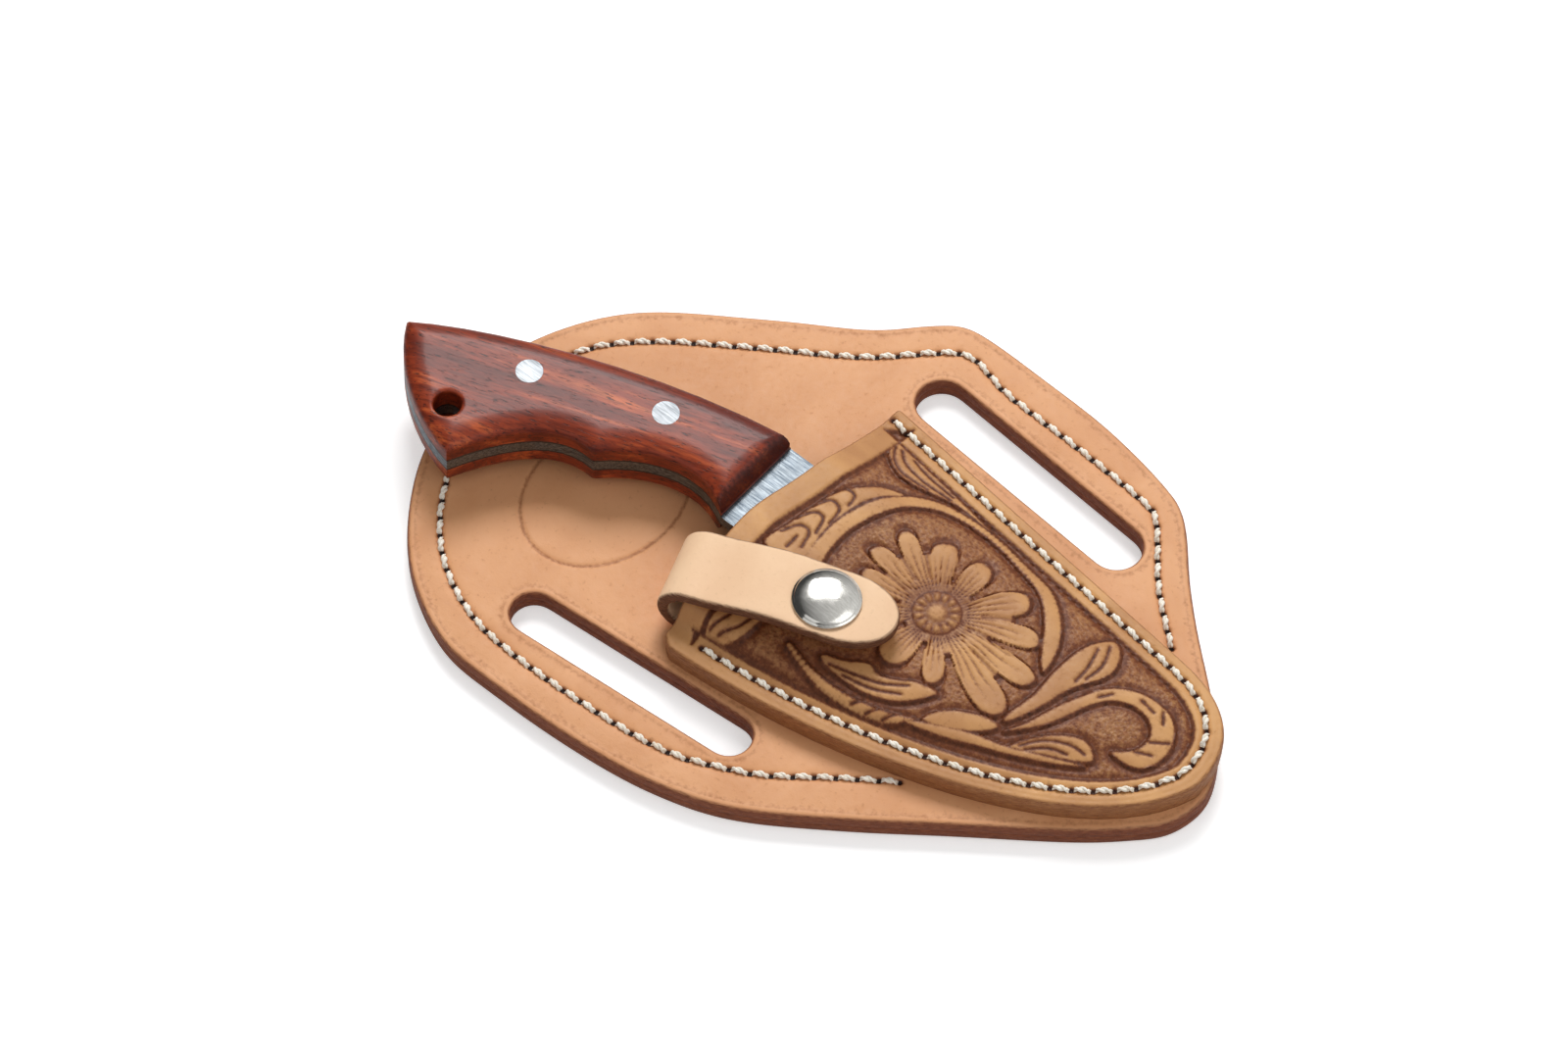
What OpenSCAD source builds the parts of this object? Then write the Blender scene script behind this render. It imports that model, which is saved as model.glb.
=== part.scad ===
// Short full-tang cutting knife held in a stitched, flat-backed leather belt sheath.
// Origin: on the sheath's flat back, under the pocket's mouth and in line with the blade.
// +X runs along the blade towards its tip, +Y towards the blade's back, +Z out of the sheath.

/* [Blade] */
// Length of the blade from its square heel to the tip
blade_l = 106; // [85:1:130]
// Width of the blade at the heel
blade_w = 46.5; // [38:0.5:56]
// Thickness of the blade and of the tang
blade_t = 3; // [2.2:0.1:4]
// Width of the bevel ground along the cutting edge
bevel_w = 11; // [6:0.5:16]
// Steel left at the cutting edge
edge_t = 0.3; // [0.2:0.05:0.6]
// Length of bare steel between the grip and the heel
neck_l = 8.6; // [6:0.1:14]
// Depth of that bare steel
neck_w = 24.4; // [18:0.1:30]

/* [Grip] */
// Length of the grip from its front end to the butt
grip_l = 86.5; // [70:0.5:110]
// How far the butt's lower corner hangs below the blade's back
grip_drop = 54.3; // [44:0.1:66]
// Thickness of each wooden scale
scale_t = 5.5; // [4:0.1:8]
// Thickness of each liner under the scales
liner_t = 0.5; // [0.3:0.1:1.5]
// Diameter of the two handle pins
pin_d = 6.3; // [4:0.1:8]
// Radial room between a pin and its hole
pin_gap = 0.05; // [0.02:0.01:0.1]
// Diameter of the lanyard hole
lanyard_d = 6.6; // [4:0.1:8]
// Slope cut on the front end of each scale
front_slope = 30; // [10:1:45]

/* [Sheath] */
// Thickness of each of the two backer layers
backer_t = 3; // [2:0.1:4]
// Reach of the backer from the origin towards the butt
backer_rear = 80; // [70:1:100]
// Reach of the backer above the origin
backer_top = 70.2; // [62:0.1:90]
// Reach of the backer below the origin
backer_bottom = 74.5; // [68:0.1:95]
// Reach of the backer past the pocket's tip
backer_lip = 0.3; // [0.2:0.1:6]
// Width of the upper belt slot
slot_top_w = 12.4; // [9:0.1:15]
// Distance between the upper slot's end centres
slot_top_l = 55.3; // [40:0.1:62]
// Width of the lower belt slot
slot_low_w = 10.6; // [8:0.1:13]
// Distance between the lower slot's end centres
slot_low_l = 54.6; // [40:0.1:62]

/* [Pocket] */
// Thickness of the pocket's front
front_t = 3; // [2:0.1:4]
// Thickness of the welt between the front and the backer
welt_t = 2.4; // [1.5:0.1:5]
// Room between the cutting edge and the welt at the heel
edge_gap = 3.6; // [2:0.1:6]
// Room between the blade's tip and the welt
tip_gap = 3.5; // [2:0.1:6]
// Room between the blade's back and the welt at the mouth
back_gap = 21.4; // [14:0.1:26]
// Width of welt inside the seam
welt_in = 2.2; // [1.8:0.1:4]
// Width of leather outside the seam along the top
rim_top = 3.4; // [3:0.1:6]
// Width of leather outside the seam along the bottom
rim_low = 4.3; // [3:0.1:6]
// Width of leather outside the seam at the tip
rim_tip = 4.2; // [3:0.1:6]
// Room between the blade's face and the pocket's front
blade_gap = 0.3; // [0.2:0.05:0.6]

/* [Stitching] */
// Distance from one stitch to the next
pitch = 4.75; // [3.5:0.05:6]
// Length of thread seen in each stitch
stitch_l = 3.6; // [2.5:0.1:3.8]
// Diameter of the thread
thread_d = 1.1; // [0.8:0.1:1.6]
// Depth of the groove that the stitches lie in on the upper faces
groove_d = 0.4; // [0.2:0.1:0.8]

/* [Strap] */
// Width of the retaining strap
strap_w = 18.5; // [14:0.5:22]
// Thickness of the retaining strap
strap_t = 2.8; // [2:0.1:3.5]
// Reach of the strap past the snap's centre
strap_end = 17; // [12:0.5:24]
// Length of the strap's glued tail from the fold
tail_l = 36; // [20:1:48]
// Turn of the strap away from the blade's direction
strap_turn = 19.3; // [12:0.1:24]

/* [Snap] */
// Diameter of the snap's cap
cap_d = 15.8; // [12:0.1:18]
// Height of the cap's dome
cap_h = 2.4; // [1.5:0.1:4]
// Diameter of the socket and of the stud's base
socket_d = 11.8; // [10:0.1:13]
// Height of the closed socket between the two leathers
socket_h = 3.6; // [3.4:0.1:5]
// Diameter of the stud's bead
bead_d = 7.4; // [6:0.1:8]

/* [Hidden] */
$fn = 48;
eps = 0.01;

// The knife lies in a plane that falls towards the tip.
tilt = 3;
heel_x = 0.6;
spine_y = 11.8;
grip_x = heel_x - neck_l;
seat_gap = 0.15;
backer_z = 2 * backer_t;
half_grip = blade_t / 2 + liner_t + scale_t;
knife_z = backer_z + seat_gap + half_grip + grip_x * sin(tilt) + (half_grip * (1 / cos(tilt) - 1));
rim_z = backer_z + welt_t;
// The seam's reach past the heel, its depth below the blade's back and its height at the mouth.
seam_room = 0.9;
seam_l = blade_l + tip_gap + welt_in + seam_room;
seam_w = blade_w + edge_gap + welt_in;
seam_y = spine_y + back_gap + welt_in;
// The pocket front's upper plane is parallel to the blade: its height over x = 0, and its fall.
crown_z = knife_z + (blade_t / 2 + blade_gap + front_t) / cos(tilt);
front_fall = tan(tilt);

leather_tan = [0.86, 0.62, 0.45];
leather_gold = [0.80, 0.58, 0.37];
leather_pale = [0.93, 0.76, 0.60];

// ---------- curves ----------

// Points of a cubic curve from a to d, with the first point left out.
function bezier(a, b, c, d, n = 10) =
    [for (i = [1:n]) let (t = i / n, s = 1 - t)
        a * s * s * s + b * 3 * s * s * t + c * 3 * s * t * t + d * t * t * t];

// A point of the smooth curve through four knots, between b and c.
function spline_point(a, b, c, d, t) =
    0.5 * (2 * b + (c - a) * t + (2 * a - 5 * b + 4 * c - d) * t * t
           + (3 * b - a - 3 * c + d) * t * t * t);

// A smooth open path through the knots.
function spline(k, n = 4) = let (m = len(k) - 1)
    [for (i = [0:m - 1], j = [0:n - 1])
        spline_point(k[max(i - 1, 0)], k[i], k[i + 1], k[min(i + 2, m)], j / n), k[m]];

// A smooth closed path through the knots.
function loop(k, n = 4) = let (m = len(k))
    [for (i = [0:m - 1], j = [0:n - 1])
        spline_point(k[(i + m - 1) % m], k[i], k[(i + 1) % m], k[(i + 2) % m], j / n)];

// The path moved sideways by d.
function beside(p, d) = let (m = len(p) - 1)
    [for (i = [0:m]) let (v = p[min(i + 1, m)] - p[max(i - 1, 0)])
        p[i] + d * [-v.y, v.x] / norm(v)];

function back_to_front(p) = [for (i = [len(p) - 1:-1:0]) p[i]];

// A band of width w that follows the path.
module band(p, w) polygon(concat(beside(p, w / 2), back_to_front(beside(p, -w / 2))));

// Length of the path up to each of its points.
function run(p) = [for (i = 0, s = 0; i < len(p);
                        s = s + norm(p[min(i + 1, len(p) - 1)] - p[i]), i = i + 1) s];

function place_on(p, r, s) = [lookup(s, [for (i = [0:len(p) - 1]) [r[i], p[i].x]]),
                              lookup(s, [for (i = [0:len(p) - 1]) [r[i], p[i].y]])];

// ---------- outlines ----------

// A share of the backer's four reaches, as a point.
front_reach = heel_x + seam_l + rim_tip + backer_lip;
function share(x, y) = [x * (x > 0 ? front_reach : backer_rear),
                        y * (y > 0 ? backer_top : backer_bottom)];

backer_edge = loop([
    share(-0.97, 0.03), share(-0.81, 0.33), share(-0.5, 0.59), share(-0.25, 0.775),
    share(-0.12, 0.92), share(-0.045, 0.985), share(0.035, 1), share(0.17, 0.99),
    share(0.34, 0.968), share(0.505, 0.91), share(0.585, 0.845), share(0.68, 0.668),
    share(0.763, 0.53), share(0.845, 0.407), share(0.891, 0.335), share(0.933, 0.265),
    share(0.971, 0.18), share(1, 0.055), share(0.984, -0.08), share(0.929, -0.183),
    share(0.845, -0.3), share(0.676, -0.498), share(0.507, -0.698), share(0.338, -0.873),
    share(0.194, -0.953), share(0.034, -0.99), share(-0.25, -1), share(-0.5, -0.975),
    share(-0.75, -0.815), share(-0.94, -0.535), share(-1, -0.25)]);

backer_seam = spline([
    share(0.745, 0.43), share(0.645, 0.58), share(0.555, 0.765), share(0.51, 0.81),
    share(0.338, 0.84), share(0.14, 0.862), share(0.036, 0.903), share(-0.036, 0.85),
    share(-0.2, 0.67), share(-0.46, 0.472), share(-0.71, 0.265), share(-0.845, 0.075),
    share(-0.905, -0.2), share(-0.85, -0.5), share(-0.7, -0.727), share(-0.5, -0.85),
    share(-0.28, -0.885), share(0.04, -0.874), share(0.17, -0.845), share(0.25, -0.796),
    share(0.338, -0.724), share(0.44, -0.6), share(0.54, -0.487)]);

// The lower side of blade and pocket: one curve with its own length and depth.
function belly(l, w, from, to, n) =
    [for (i = [0:n]) let (a = from + (to - from) * i / n)
        [heel_x + l * pow(cos(a), 1.143), spine_y - w * pow(sin(a), 0.909)]];

tip_turn = 8;
top_fall = tan(7.8);

// From the mouth's top along the straight side, round the tip and back along the lower side.
function pocket_side(y, l, w, start, corner, end_angle) =
    let (p = [heel_x + l - corner, y - top_fall * (l - corner)],
         q = [heel_x + l - 0.4, p.y - corner * 0.13],
         r = belly(l, w, tip_turn, end_angle, 22))
    concat([[start, y - top_fall * start], p],
           bezier(p, p * 0.33 + q * 0.67, q * 0.67 + r[0] * 0.33, r[0], 8),
           [for (i = [1:len(r) - 1]) r[i]]);

mouth = spline([[0.8, -42.5], [0.4, -34], [-2.2, -23], [-3.2, -8], [-0.6, 6], [1.2, 20], [1.8, 33]]);
pocket_edge = concat(mouth, pocket_side(seam_y + rim_top, seam_l + rim_tip, seam_w + rim_low, 2, 24, 87.5));
pocket_seam = pocket_side(seam_y, seam_l, seam_w, 3.6, 20, 86);
inside_l = seam_l - welt_in;
inside_w = seam_w - welt_in;
inside_y = seam_y - welt_in;
past_mouth = -12;
pocket_inside = concat(pocket_side(inside_y, inside_l, inside_w, past_mouth, 14, 90),
                       [[past_mouth, spine_y - inside_w]]);

// Points of the grip: a share of its length behind its front end, a share of its drop.
function grip(a, b) = [grip_x - a * grip_l, spine_y - b * grip_drop];
grip_edge = concat([grip(0, 0), [grip_x, spine_y - neck_w]],
    bezier(grip(0, 0.457), grip(0.0925, 0.346), grip(0.243, 0.392), grip(0.361, 0.597)),
    bezier(grip(0.361, 0.597), grip(0.474, 0.576), grip(0.566, 0.715), grip(0.647, 1)),
    bezier(grip(0.647, 1), grip(0.786, 0.963), grip(0.936, 0.807), grip(1, 0.622)),
    bezier(grip(1, 0.622), grip(0.832, 0.42), grip(0.428, 0.107), grip(0, 0)));
front_pin_at = grip(0.29, 0.266);
rear_pin_at = grip(0.644, 0.486);
lanyard_at = grip(0.738, 0.832);

// ---------- placing ----------

// Into the knife's own plane: z = 0 is the middle of the blade.
module in_knife() translate([0, 0, knife_z]) rotate([0, tilt, 0]) children();

// The strap's line runs through the snap, turned away from the blade.
snap_at = [27.4, -18.4];
strap_fall = front_fall * cos(strap_turn);
snap_z = crown_z - front_fall * snap_at.x;
// z = 0 is the pocket's upper face under the snap, +X runs towards the strap's end.
module in_snap() translate([snap_at.x, snap_at.y, snap_z]) rotate([0, 0, strap_turn])
    rotate([0, atan(strap_fall), 0]) children();

// ---------- sheath ----------

module slot(centre, l, w, angle) translate(centre) rotate(angle) {
    square([l, w], center = true);
    for (s = [-1, 1]) translate([s * l / 2, 0]) circle(d = w);
}
slot_top_at = [34, 46.3];
slot_top_turn = -5.7;
slot_low_at = [-0.4, -52.8];
slot_low_turn = 3.9;
module belt_slots() {
    slot(slot_top_at, slot_top_l, slot_top_w, slot_top_turn);
    slot(slot_low_at, slot_low_l, slot_low_w, slot_low_turn);
}

groove_w = thread_d + 0.9;
under_groove = thread_d + 0.1;

module backer_face() color(leather_tan) difference() {
    translate([0, 0, backer_t]) linear_extrude(backer_t) difference() {
        polygon(backer_edge);
        belt_slots();
    }
    translate([0, 0, backer_z - groove_d]) linear_extrude(backer_t) band(backer_seam, groove_w);
}

module backer_lining() color(leather_tan) difference() {
    linear_extrude(backer_t) difference() {
        polygon(backer_edge);
        belt_slots();
    }
    translate([0, 0, -eps]) linear_extrude(under_groove + eps) {
        band(backer_seam, groove_w);
        band(pocket_seam, groove_w);
    }
}

// One row of stitches along a path, lying with its underside at z.
module stitches(path, z) {
    r = run(path);
    count = floor((r[len(r) - 1] - stitch_l) / pitch);
    for (i = [0:count]) {
        a = place_on(path, r, i * pitch);
        b = place_on(path, r, i * pitch + stitch_l);
        translate([a.x, a.y, z]) rotate(atan2(b.y - a.y, b.x - a.x))
            linear_extrude(thread_d) {
                translate([thread_d / 2, -thread_d / 2]) square([norm(b - a) - thread_d, thread_d]);
                for (x = [thread_d / 2, norm(b - a) - thread_d / 2])
                    translate([x, 0]) circle(d = thread_d, $fn = 16);
            }
    }
}

module backer_thread() color("ivory") {
    stitches(backer_seam, backer_z - groove_d);
    stitches(backer_seam, under_groove - thread_d);
}

module pocket_thread() color("ivory") {
    stitches(pocket_seam, rim_z + front_t - groove_d);
    stitches(pocket_seam, under_groove - thread_d);
}

module pocket_welt() color(leather_gold) translate([0, 0, backer_z]) linear_extrude(welt_t)
    difference() {
        polygon(pocket_edge);
        polygon(pocket_inside);
    }

// A plan that follows the blade's, with its edge moved out by grow, and runs on past the mouth.
module over_blade(grow) let (top = spine_y + 1 + max(grow, 0)) polygon(concat(
    [[past_mouth, top], [heel_x + blade_l + grow, top]],
    belly(blade_l + grow, blade_w + grow, 0, 90, 12), [[past_mouth, spine_y - blade_w - grow]]));

// The blade with room on every side: flat over the welt, lifted by the bevel and by the flat.
// raise moves its upper side up, and grow moves it outwards.
module over_knife(base, raise, grow) hull() {
    translate([0, 0, base]) linear_extrude(raise + rim_z - base - 0.1) polygon(pocket_inside);
    in_knife() translate([0, 0, edge_t / 2 + blade_gap + raise - 0.5]) linear_extrude(0.5)
        over_blade(0.5 + grow);
    in_knife() translate([0, 0, blade_t / 2 + blade_gap + raise - 0.5]) linear_extrude(0.5)
        over_blade(0.5 + grow - bevel_w);
}

post_r = 1.9;
flange_r = 4;
flange_t = 0.6;
hole_gap = 0.1;
module pocket_front() color(leather_gold) difference() {
    intersection() {
        translate([0, 0, rim_z]) linear_extrude(4 * front_t + welt_t) polygon(pocket_edge);
        union() {
            translate([0, 0, rim_z]) linear_extrude(front_t) polygon(pocket_edge);
            over_knife(rim_z + 1, front_t, 1.2);
        }
    }
    over_knife(rim_z - 2, 0, 0);
    translate([0, 0, rim_z + front_t - groove_d]) linear_extrude(front_t) band(pocket_seam, groove_w);
    in_snap() translate([0, 0, -front_t - 1]) cylinder(r = post_r + hole_gap, h = front_t + 2);
    in_snap() translate([0, 0, -front_t - 1]) cylinder(r = flange_r + 0.3, h = 1.3 + flange_t);
}

// ---------- strap ----------

// The strap's side view: x along the strap from the snap, y is height over the sheath's back.
fold_x = -29.3;
tail_z = backer_z + 0.05;
fold_top = snap_z - strap_fall * fold_x + 0.4;
fold_in = (fold_top - tail_z - strap_t) / 2;
fold_mid = tail_z + strap_t + fold_in;
lift_from = [fold_x, fold_mid + fold_in];
lift_to = [-8.5, snap_z + socket_h + 8.5 * strap_fall];
flap_under = concat([lift_from],
    bezier(lift_from, lift_from + [7, 0], lift_to - [7, -7 * strap_fall], lift_to, 8),
    [lift_to + (strap_end + 8.5) * [1, -strap_fall]]);
tail_curve = concat([for (a = [90:7.5:270]) [fold_x, fold_mid] + fold_in * [cos(a), sin(a)]],
                    [[fold_x + tail_l, fold_mid - fold_in]]);

// Turns a side view into a strap of full width that follows the strap's line.
module strap_width(w) translate([snap_at.x, snap_at.y, 0]) rotate([90, 0, strap_turn])
    translate([0, 0, -w / 2]) linear_extrude(w) children();

module strap_tail() color(leather_pale) strap_width(strap_w)
    polygon(concat(tail_curve, back_to_front(beside(tail_curve, -strap_t))));

// The strap's plan: parallel sides and a round end past the snap.
module strap_plan() translate(snap_at) rotate(strap_turn) {
    translate([fold_x - 1, -strap_w / 2]) square([strap_end - strap_w * 0.42 - fold_x + 1, strap_w]);
    translate([strap_end - strap_w * 0.42, 0]) scale([0.84, 1]) circle(d = strap_w);
}

cap_post_r = 1.5;
module strap_flap() color(leather_pale) difference() {
    intersection() {
        strap_width(strap_w) polygon(concat(flap_under, back_to_front(beside(flap_under, strap_t))));
        linear_extrude(3 * fold_top) strap_plan();
    }
    in_snap() translate([0, 0, socket_h - 1]) cylinder(r = cap_post_r + hole_gap, h = strap_t + 2);
}

// ---------- snap fastener ----------

base_t = 0.65;
base_lift = 0.15;
roof_t = 0.4;
roll_t = 0.35;
roof_z = socket_h - roof_t - 0.05;
stud_h = roof_z - roll_t - 0.1;
neck_r = bead_d / 2 - 0.6;
bead_t = 1;

// The eyelet that comes from inside the pocket and holds the stud.
module snap_post() color("silver") in_snap() {
    translate([0, 0, -front_t + 0.15]) cylinder(r = flange_r, h = flange_t);
    translate([0, 0, -front_t + 0.15]) cylinder(r = post_r, h = front_t + stud_h - 0.15 - roll_t);
    translate([0, 0, stud_h - roll_t]) cylinder(r = post_r + 0.6, h = roll_t);
}

module snap_stud() color("silver") in_snap() difference() {
    rotate_extrude() {
        translate([0, base_lift]) {
            square([socket_d / 2, base_t - base_lift]);
            square([neck_r, stud_h - base_lift - 0.2]);
        }
        translate([0, stud_h - bead_t]) square([bead_d / 2 - bead_t / 2, bead_t]);
        translate([bead_d / 2 - bead_t / 2, stud_h - bead_t / 2]) circle(d = bead_t, $fn = 24);
    }
    translate([0, 0, -1]) cylinder(r = post_r + 0.03, h = socket_h + 2);
    translate([0, 0, stud_h - roll_t - 0.03]) cylinder(r = post_r + 0.63, h = 2);
}

lip_z = base_t + 0.15;
room_r = bead_d / 2 + 0.7;
module snap_socket() color("silver") in_snap() difference() {
    translate([0, 0, lip_z]) cylinder(d = socket_d, h = socket_h - lip_z - 0.05);
    translate([0, 0, 0]) cylinder(r = room_r, h = roof_z);
    translate([0, 0, 0]) cylinder(r = cap_post_r + 0.03, h = socket_h + 1);
}

// The wire ring inside the socket that closes under the stud's bead.
wire_d = 0.6;
module snap_spring() color("dimgray") in_snap()
    translate([0, 0, lip_z + wire_d / 2 + 0.1]) rotate_extrude()
        translate([neck_r + 0.35 + wire_d / 2, 0]) circle(d = wire_d, $fn = 16);

cap_edge = 0.7;
cap_z = socket_h + strap_t;
module snap_cap() color("gainsboro") in_snap() {
    ball_r = (cap_d * cap_d / 4 + cap_h * cap_h - 2 * cap_h * cap_edge + cap_edge * cap_edge)
             / (2 * (cap_h - cap_edge));
    rotate_extrude($fn = 96) intersection() {
        translate([0, cap_z + cap_h - ball_r]) circle(r = ball_r, $fn = 180);
        translate([0, cap_z]) square([cap_d / 2, cap_h + 1]);
    }
    translate([0, 0, roof_z - eps]) cylinder(r = cap_post_r, h = cap_z - roof_z + 0.1);
    translate([0, 0, roof_z - roll_t]) cylinder(r = cap_post_r + 0.8, h = roll_t);
}

// ---------- knife ----------

module pin_holes(gap) for (at = [front_pin_at, rear_pin_at])
    translate([at.x, at.y, -30]) cylinder(d = pin_d + 2 * gap, h = 60);
module lanyard_hole() translate([lanyard_at.x, lanyard_at.y, -30]) cylinder(d = lanyard_d, h = 60);

module blade() color("lightsteelblue") in_knife() {
    difference() {
        translate([0, 0, -blade_t / 2]) linear_extrude(blade_t) {
            polygon(grip_edge);
            translate([grip_x - eps, spine_y - neck_w]) square([neck_l + 1, neck_w]);
        }
        pin_holes(pin_gap);
        lanyard_hole();
    }
    // The blade: full thickness along the back, thinned to the edge.
    hull() {
        translate([0, 0, -edge_t / 2]) linear_extrude(edge_t)
            polygon(concat([[heel_x, spine_y]], belly(blade_l, blade_w, 0, 90, 20)));
        translate([0, 0, -blade_t / 2]) linear_extrude(blade_t)
            polygon(concat([[heel_x, spine_y]], belly(blade_l - bevel_w, blade_w - bevel_w, 0, 90, 16)));
    }
}

// A layer of the grip between two heights over the blade's middle.
module grip_layer(low, high) difference() {
    translate([0, 0, low]) linear_extrude(high - low) polygon(grip_edge);
    pin_holes(pin_gap);
    lanyard_hole();
}

// A scale above the tang, with its front end cut back at a slope.
module scale_above() difference() {
    grip_layer(blade_t / 2 + liner_t, half_grip);
    translate([grip_x, 0, blade_t / 2 + liner_t + 1]) rotate([0, -front_slope, 0])
        translate([0, -60, 0]) cube([20, 120, 20]);
}

module front_scale() color([0.55, 0.2, 0.12]) in_knife() scale_above();
module back_scale() color([0.55, 0.2, 0.12]) in_knife() mirror([0, 0, 1]) scale_above();
module front_liner() color("black") in_knife() grip_layer(blade_t / 2, blade_t / 2 + liner_t);
module back_liner() color("black") in_knife() grip_layer(-blade_t / 2 - liner_t, -blade_t / 2);

module handle_pin(at) color("silver") in_knife() translate([at.x, at.y, -half_grip])
    cylinder(d = pin_d, h = 2 * half_grip);
module front_pin() handle_pin(front_pin_at);
module rear_pin() handle_pin(rear_pin_at);

backer_face();
backer_lining();
backer_thread();
pocket_front();
pocket_welt();
pocket_thread();
strap_tail();
snap_post();
snap_stud();
strap_flap();
snap_cap();
snap_socket();
snap_spring();
blade();
front_scale();
back_scale();
front_liner();
back_liner();
front_pin();
rear_pin();
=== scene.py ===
"""Finished look of a leather-cutting knife in its stitched and tooled belt sheath."""
import bpy
import bmesh
import math
import numpy as np
from mathutils import Matrix, Vector
from mathutils.bvhtree import BVHTree
from mathutils.geometry import delaunay_2d_cdt


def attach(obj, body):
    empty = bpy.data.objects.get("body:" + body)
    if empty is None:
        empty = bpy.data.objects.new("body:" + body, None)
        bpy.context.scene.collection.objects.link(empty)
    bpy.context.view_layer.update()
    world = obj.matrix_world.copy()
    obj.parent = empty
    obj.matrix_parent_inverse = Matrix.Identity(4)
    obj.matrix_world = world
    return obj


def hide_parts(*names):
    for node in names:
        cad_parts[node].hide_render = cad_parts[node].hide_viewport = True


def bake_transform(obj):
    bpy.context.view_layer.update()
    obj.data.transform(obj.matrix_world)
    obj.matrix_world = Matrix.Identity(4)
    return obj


bl_info = {
    "name": "Sheathed cutting knife",
    "version": (1, 0, 0),
    "blender": (4, 5, 0),
    "location": "3D View > Sidebar > Knife",
    "description": "Builds a cutting knife in a tooled leather belt sheath",
    "category": "Add Mesh",
}

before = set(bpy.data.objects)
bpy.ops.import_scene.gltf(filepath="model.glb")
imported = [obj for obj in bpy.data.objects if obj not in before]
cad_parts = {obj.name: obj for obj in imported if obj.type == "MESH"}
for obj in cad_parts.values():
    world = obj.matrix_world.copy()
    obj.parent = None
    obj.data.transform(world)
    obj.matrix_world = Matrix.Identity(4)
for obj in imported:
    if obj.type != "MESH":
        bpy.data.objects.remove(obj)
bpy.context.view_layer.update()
MM = 0.001

# Sizes in millimetres that the sheath and the knife are set out from.
HEEL = (0.6, 11.8)
TILT = math.radians(3)
KNIFE_Z = 13.2416
BACKER_TOP = 6.0
RIM_Z = 8.4
LEATHER = 3.0
SEAM = (112.6, 52.3, 35.4)         # reach past the heel, depth below the blade's back, height
RIMS = (4.2, 4.3, 3.4)             # leather outside the seam at the tip, below and above
MOUTH = [(0.8, -42.5), (0.4, -34), (-2.2, -23), (-3.2, -8), (-0.6, 6), (1.2, 20), (1.8, 33)]
SNAP = (27.4, -18.4)
STRAP_TURN = math.radians(19.3)
STRAP_FALL = math.tan(TILT) * math.cos(STRAP_TURN)
FLOWER = (45.5, -1.3)
SNAP_Z = 18.048 - math.tan(TILT) * SNAP[0]
NECK = 8.6
LANYARD_R = 3.3
FRONT_RISE = 1.732                 # rise of the scales' front per millimetre
BORDER = 6.6                       # from the pocket's outline to the border of its tooling
OVAL = (-36.5, -19.5, 17.5, 22)    # middle and half sizes of the oval line on the backer
EDGE_REACH = 1.1                   # how far in from an outline the leather shows its edge
FAR_OFF = 1e9


# ---------- paths and plans, in millimetres ----------

def spline(knots, n=6, closed=False):
    """Smooth path through the knots."""
    k = np.array(knots, float)
    m = len(k)
    out = []
    for i in range(m if closed else m - 1):
        if closed:
            a, b, c, d = k[i - 1], k[i], k[(i + 1) % m], k[(i + 2) % m]
        else:
            a, b, c, d = k[max(i - 1, 0)], k[i], k[i + 1], k[min(i + 2, m - 1)]
        for j in range(n):
            t = j / n
            out.append(0.5 * (2 * b + (c - a) * t + (2 * a - 5 * b + 4 * c - d) * t * t
                              + (3 * b - a - 3 * c + d) * t ** 3))
    if not closed:
        out.append(k[-1])
    return np.array(out)


def even(path, step, closed=False):
    """The same path with its points evenly spaced."""
    p = np.vstack([path, path[:1]]) if closed else np.asarray(path, float)
    run = np.concatenate([[0], np.cumsum(np.linalg.norm(np.diff(p, axis=0), axis=1))])
    n = max(int(round(run[-1] / step)), 3)
    at = np.linspace(0, run[-1], n + 1)
    if closed:
        at = at[:-1]
    return np.stack([np.interp(at, run, p[:, k]) for k in range(p.shape[1])], 1)


def soften(loop, times):
    """Evens out the small corners of a closed path."""
    for _ in range(times):
        loop = (np.roll(loop, 1, 0) + 2 * loop + np.roll(loop, -1, 0)) / 4
    return loop


def area(loop):
    """Signed area of a closed path, positive when it runs anticlockwise."""
    x, y = loop[:, 0], loop[:, 1]
    return 0.5 * float(np.sum(x * np.roll(y, -1) - y * np.roll(x, -1)))


def beside(path, d, closed=True):
    """The path moved to its left by d."""
    if closed:
        v = np.roll(path, -1, 0) - np.roll(path, 1, 0)
    else:
        v = np.gradient(path, axis=0)
    v /= np.linalg.norm(v, axis=1)[:, None] + 1e-12
    return path + d * np.stack([-v[:, 1], v[:, 0]], 1)


def distance(points, path, closed=False):
    """Distance of each point from the path."""
    a = np.asarray(path, float)
    b = np.roll(a, -1, 0) if closed else a[1:]
    a = a if closed else a[:-1]
    out = np.empty(len(points))
    ab = b - a
    size = np.maximum((ab ** 2).sum(1), 1e-12)
    for s in range(0, len(points), 4000):
        p = points[s:s + 4000, None, :]
        t = np.clip(((p - a) * ab).sum(2) / size, 0, 1)
        out[s:s + 4000] = np.sqrt((((a + t[..., None] * ab) - p) ** 2).sum(2).min(1))
    return out


def nearest(points, paths, closed=False):
    """Distance of each point from the nearest of the paths."""
    out = np.full(len(points), FAR_OFF)
    for path in paths:
        out = np.minimum(out, distance(points, path, closed))
    return out


def fade(d, width, power=2):
    """One on a line, falling to nothing at a distance d from it."""
    return np.exp(-(d / width) ** power)


def near_dots(points, dots):
    """Distance of each point from the nearest dot."""
    out = np.empty(len(points))
    for s in range(0, len(points), 4000):
        p = points[s:s + 4000, None, :]
        out[s:s + 4000] = np.sqrt(((dots - p) ** 2).sum(2).min(1))
    return out


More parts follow.
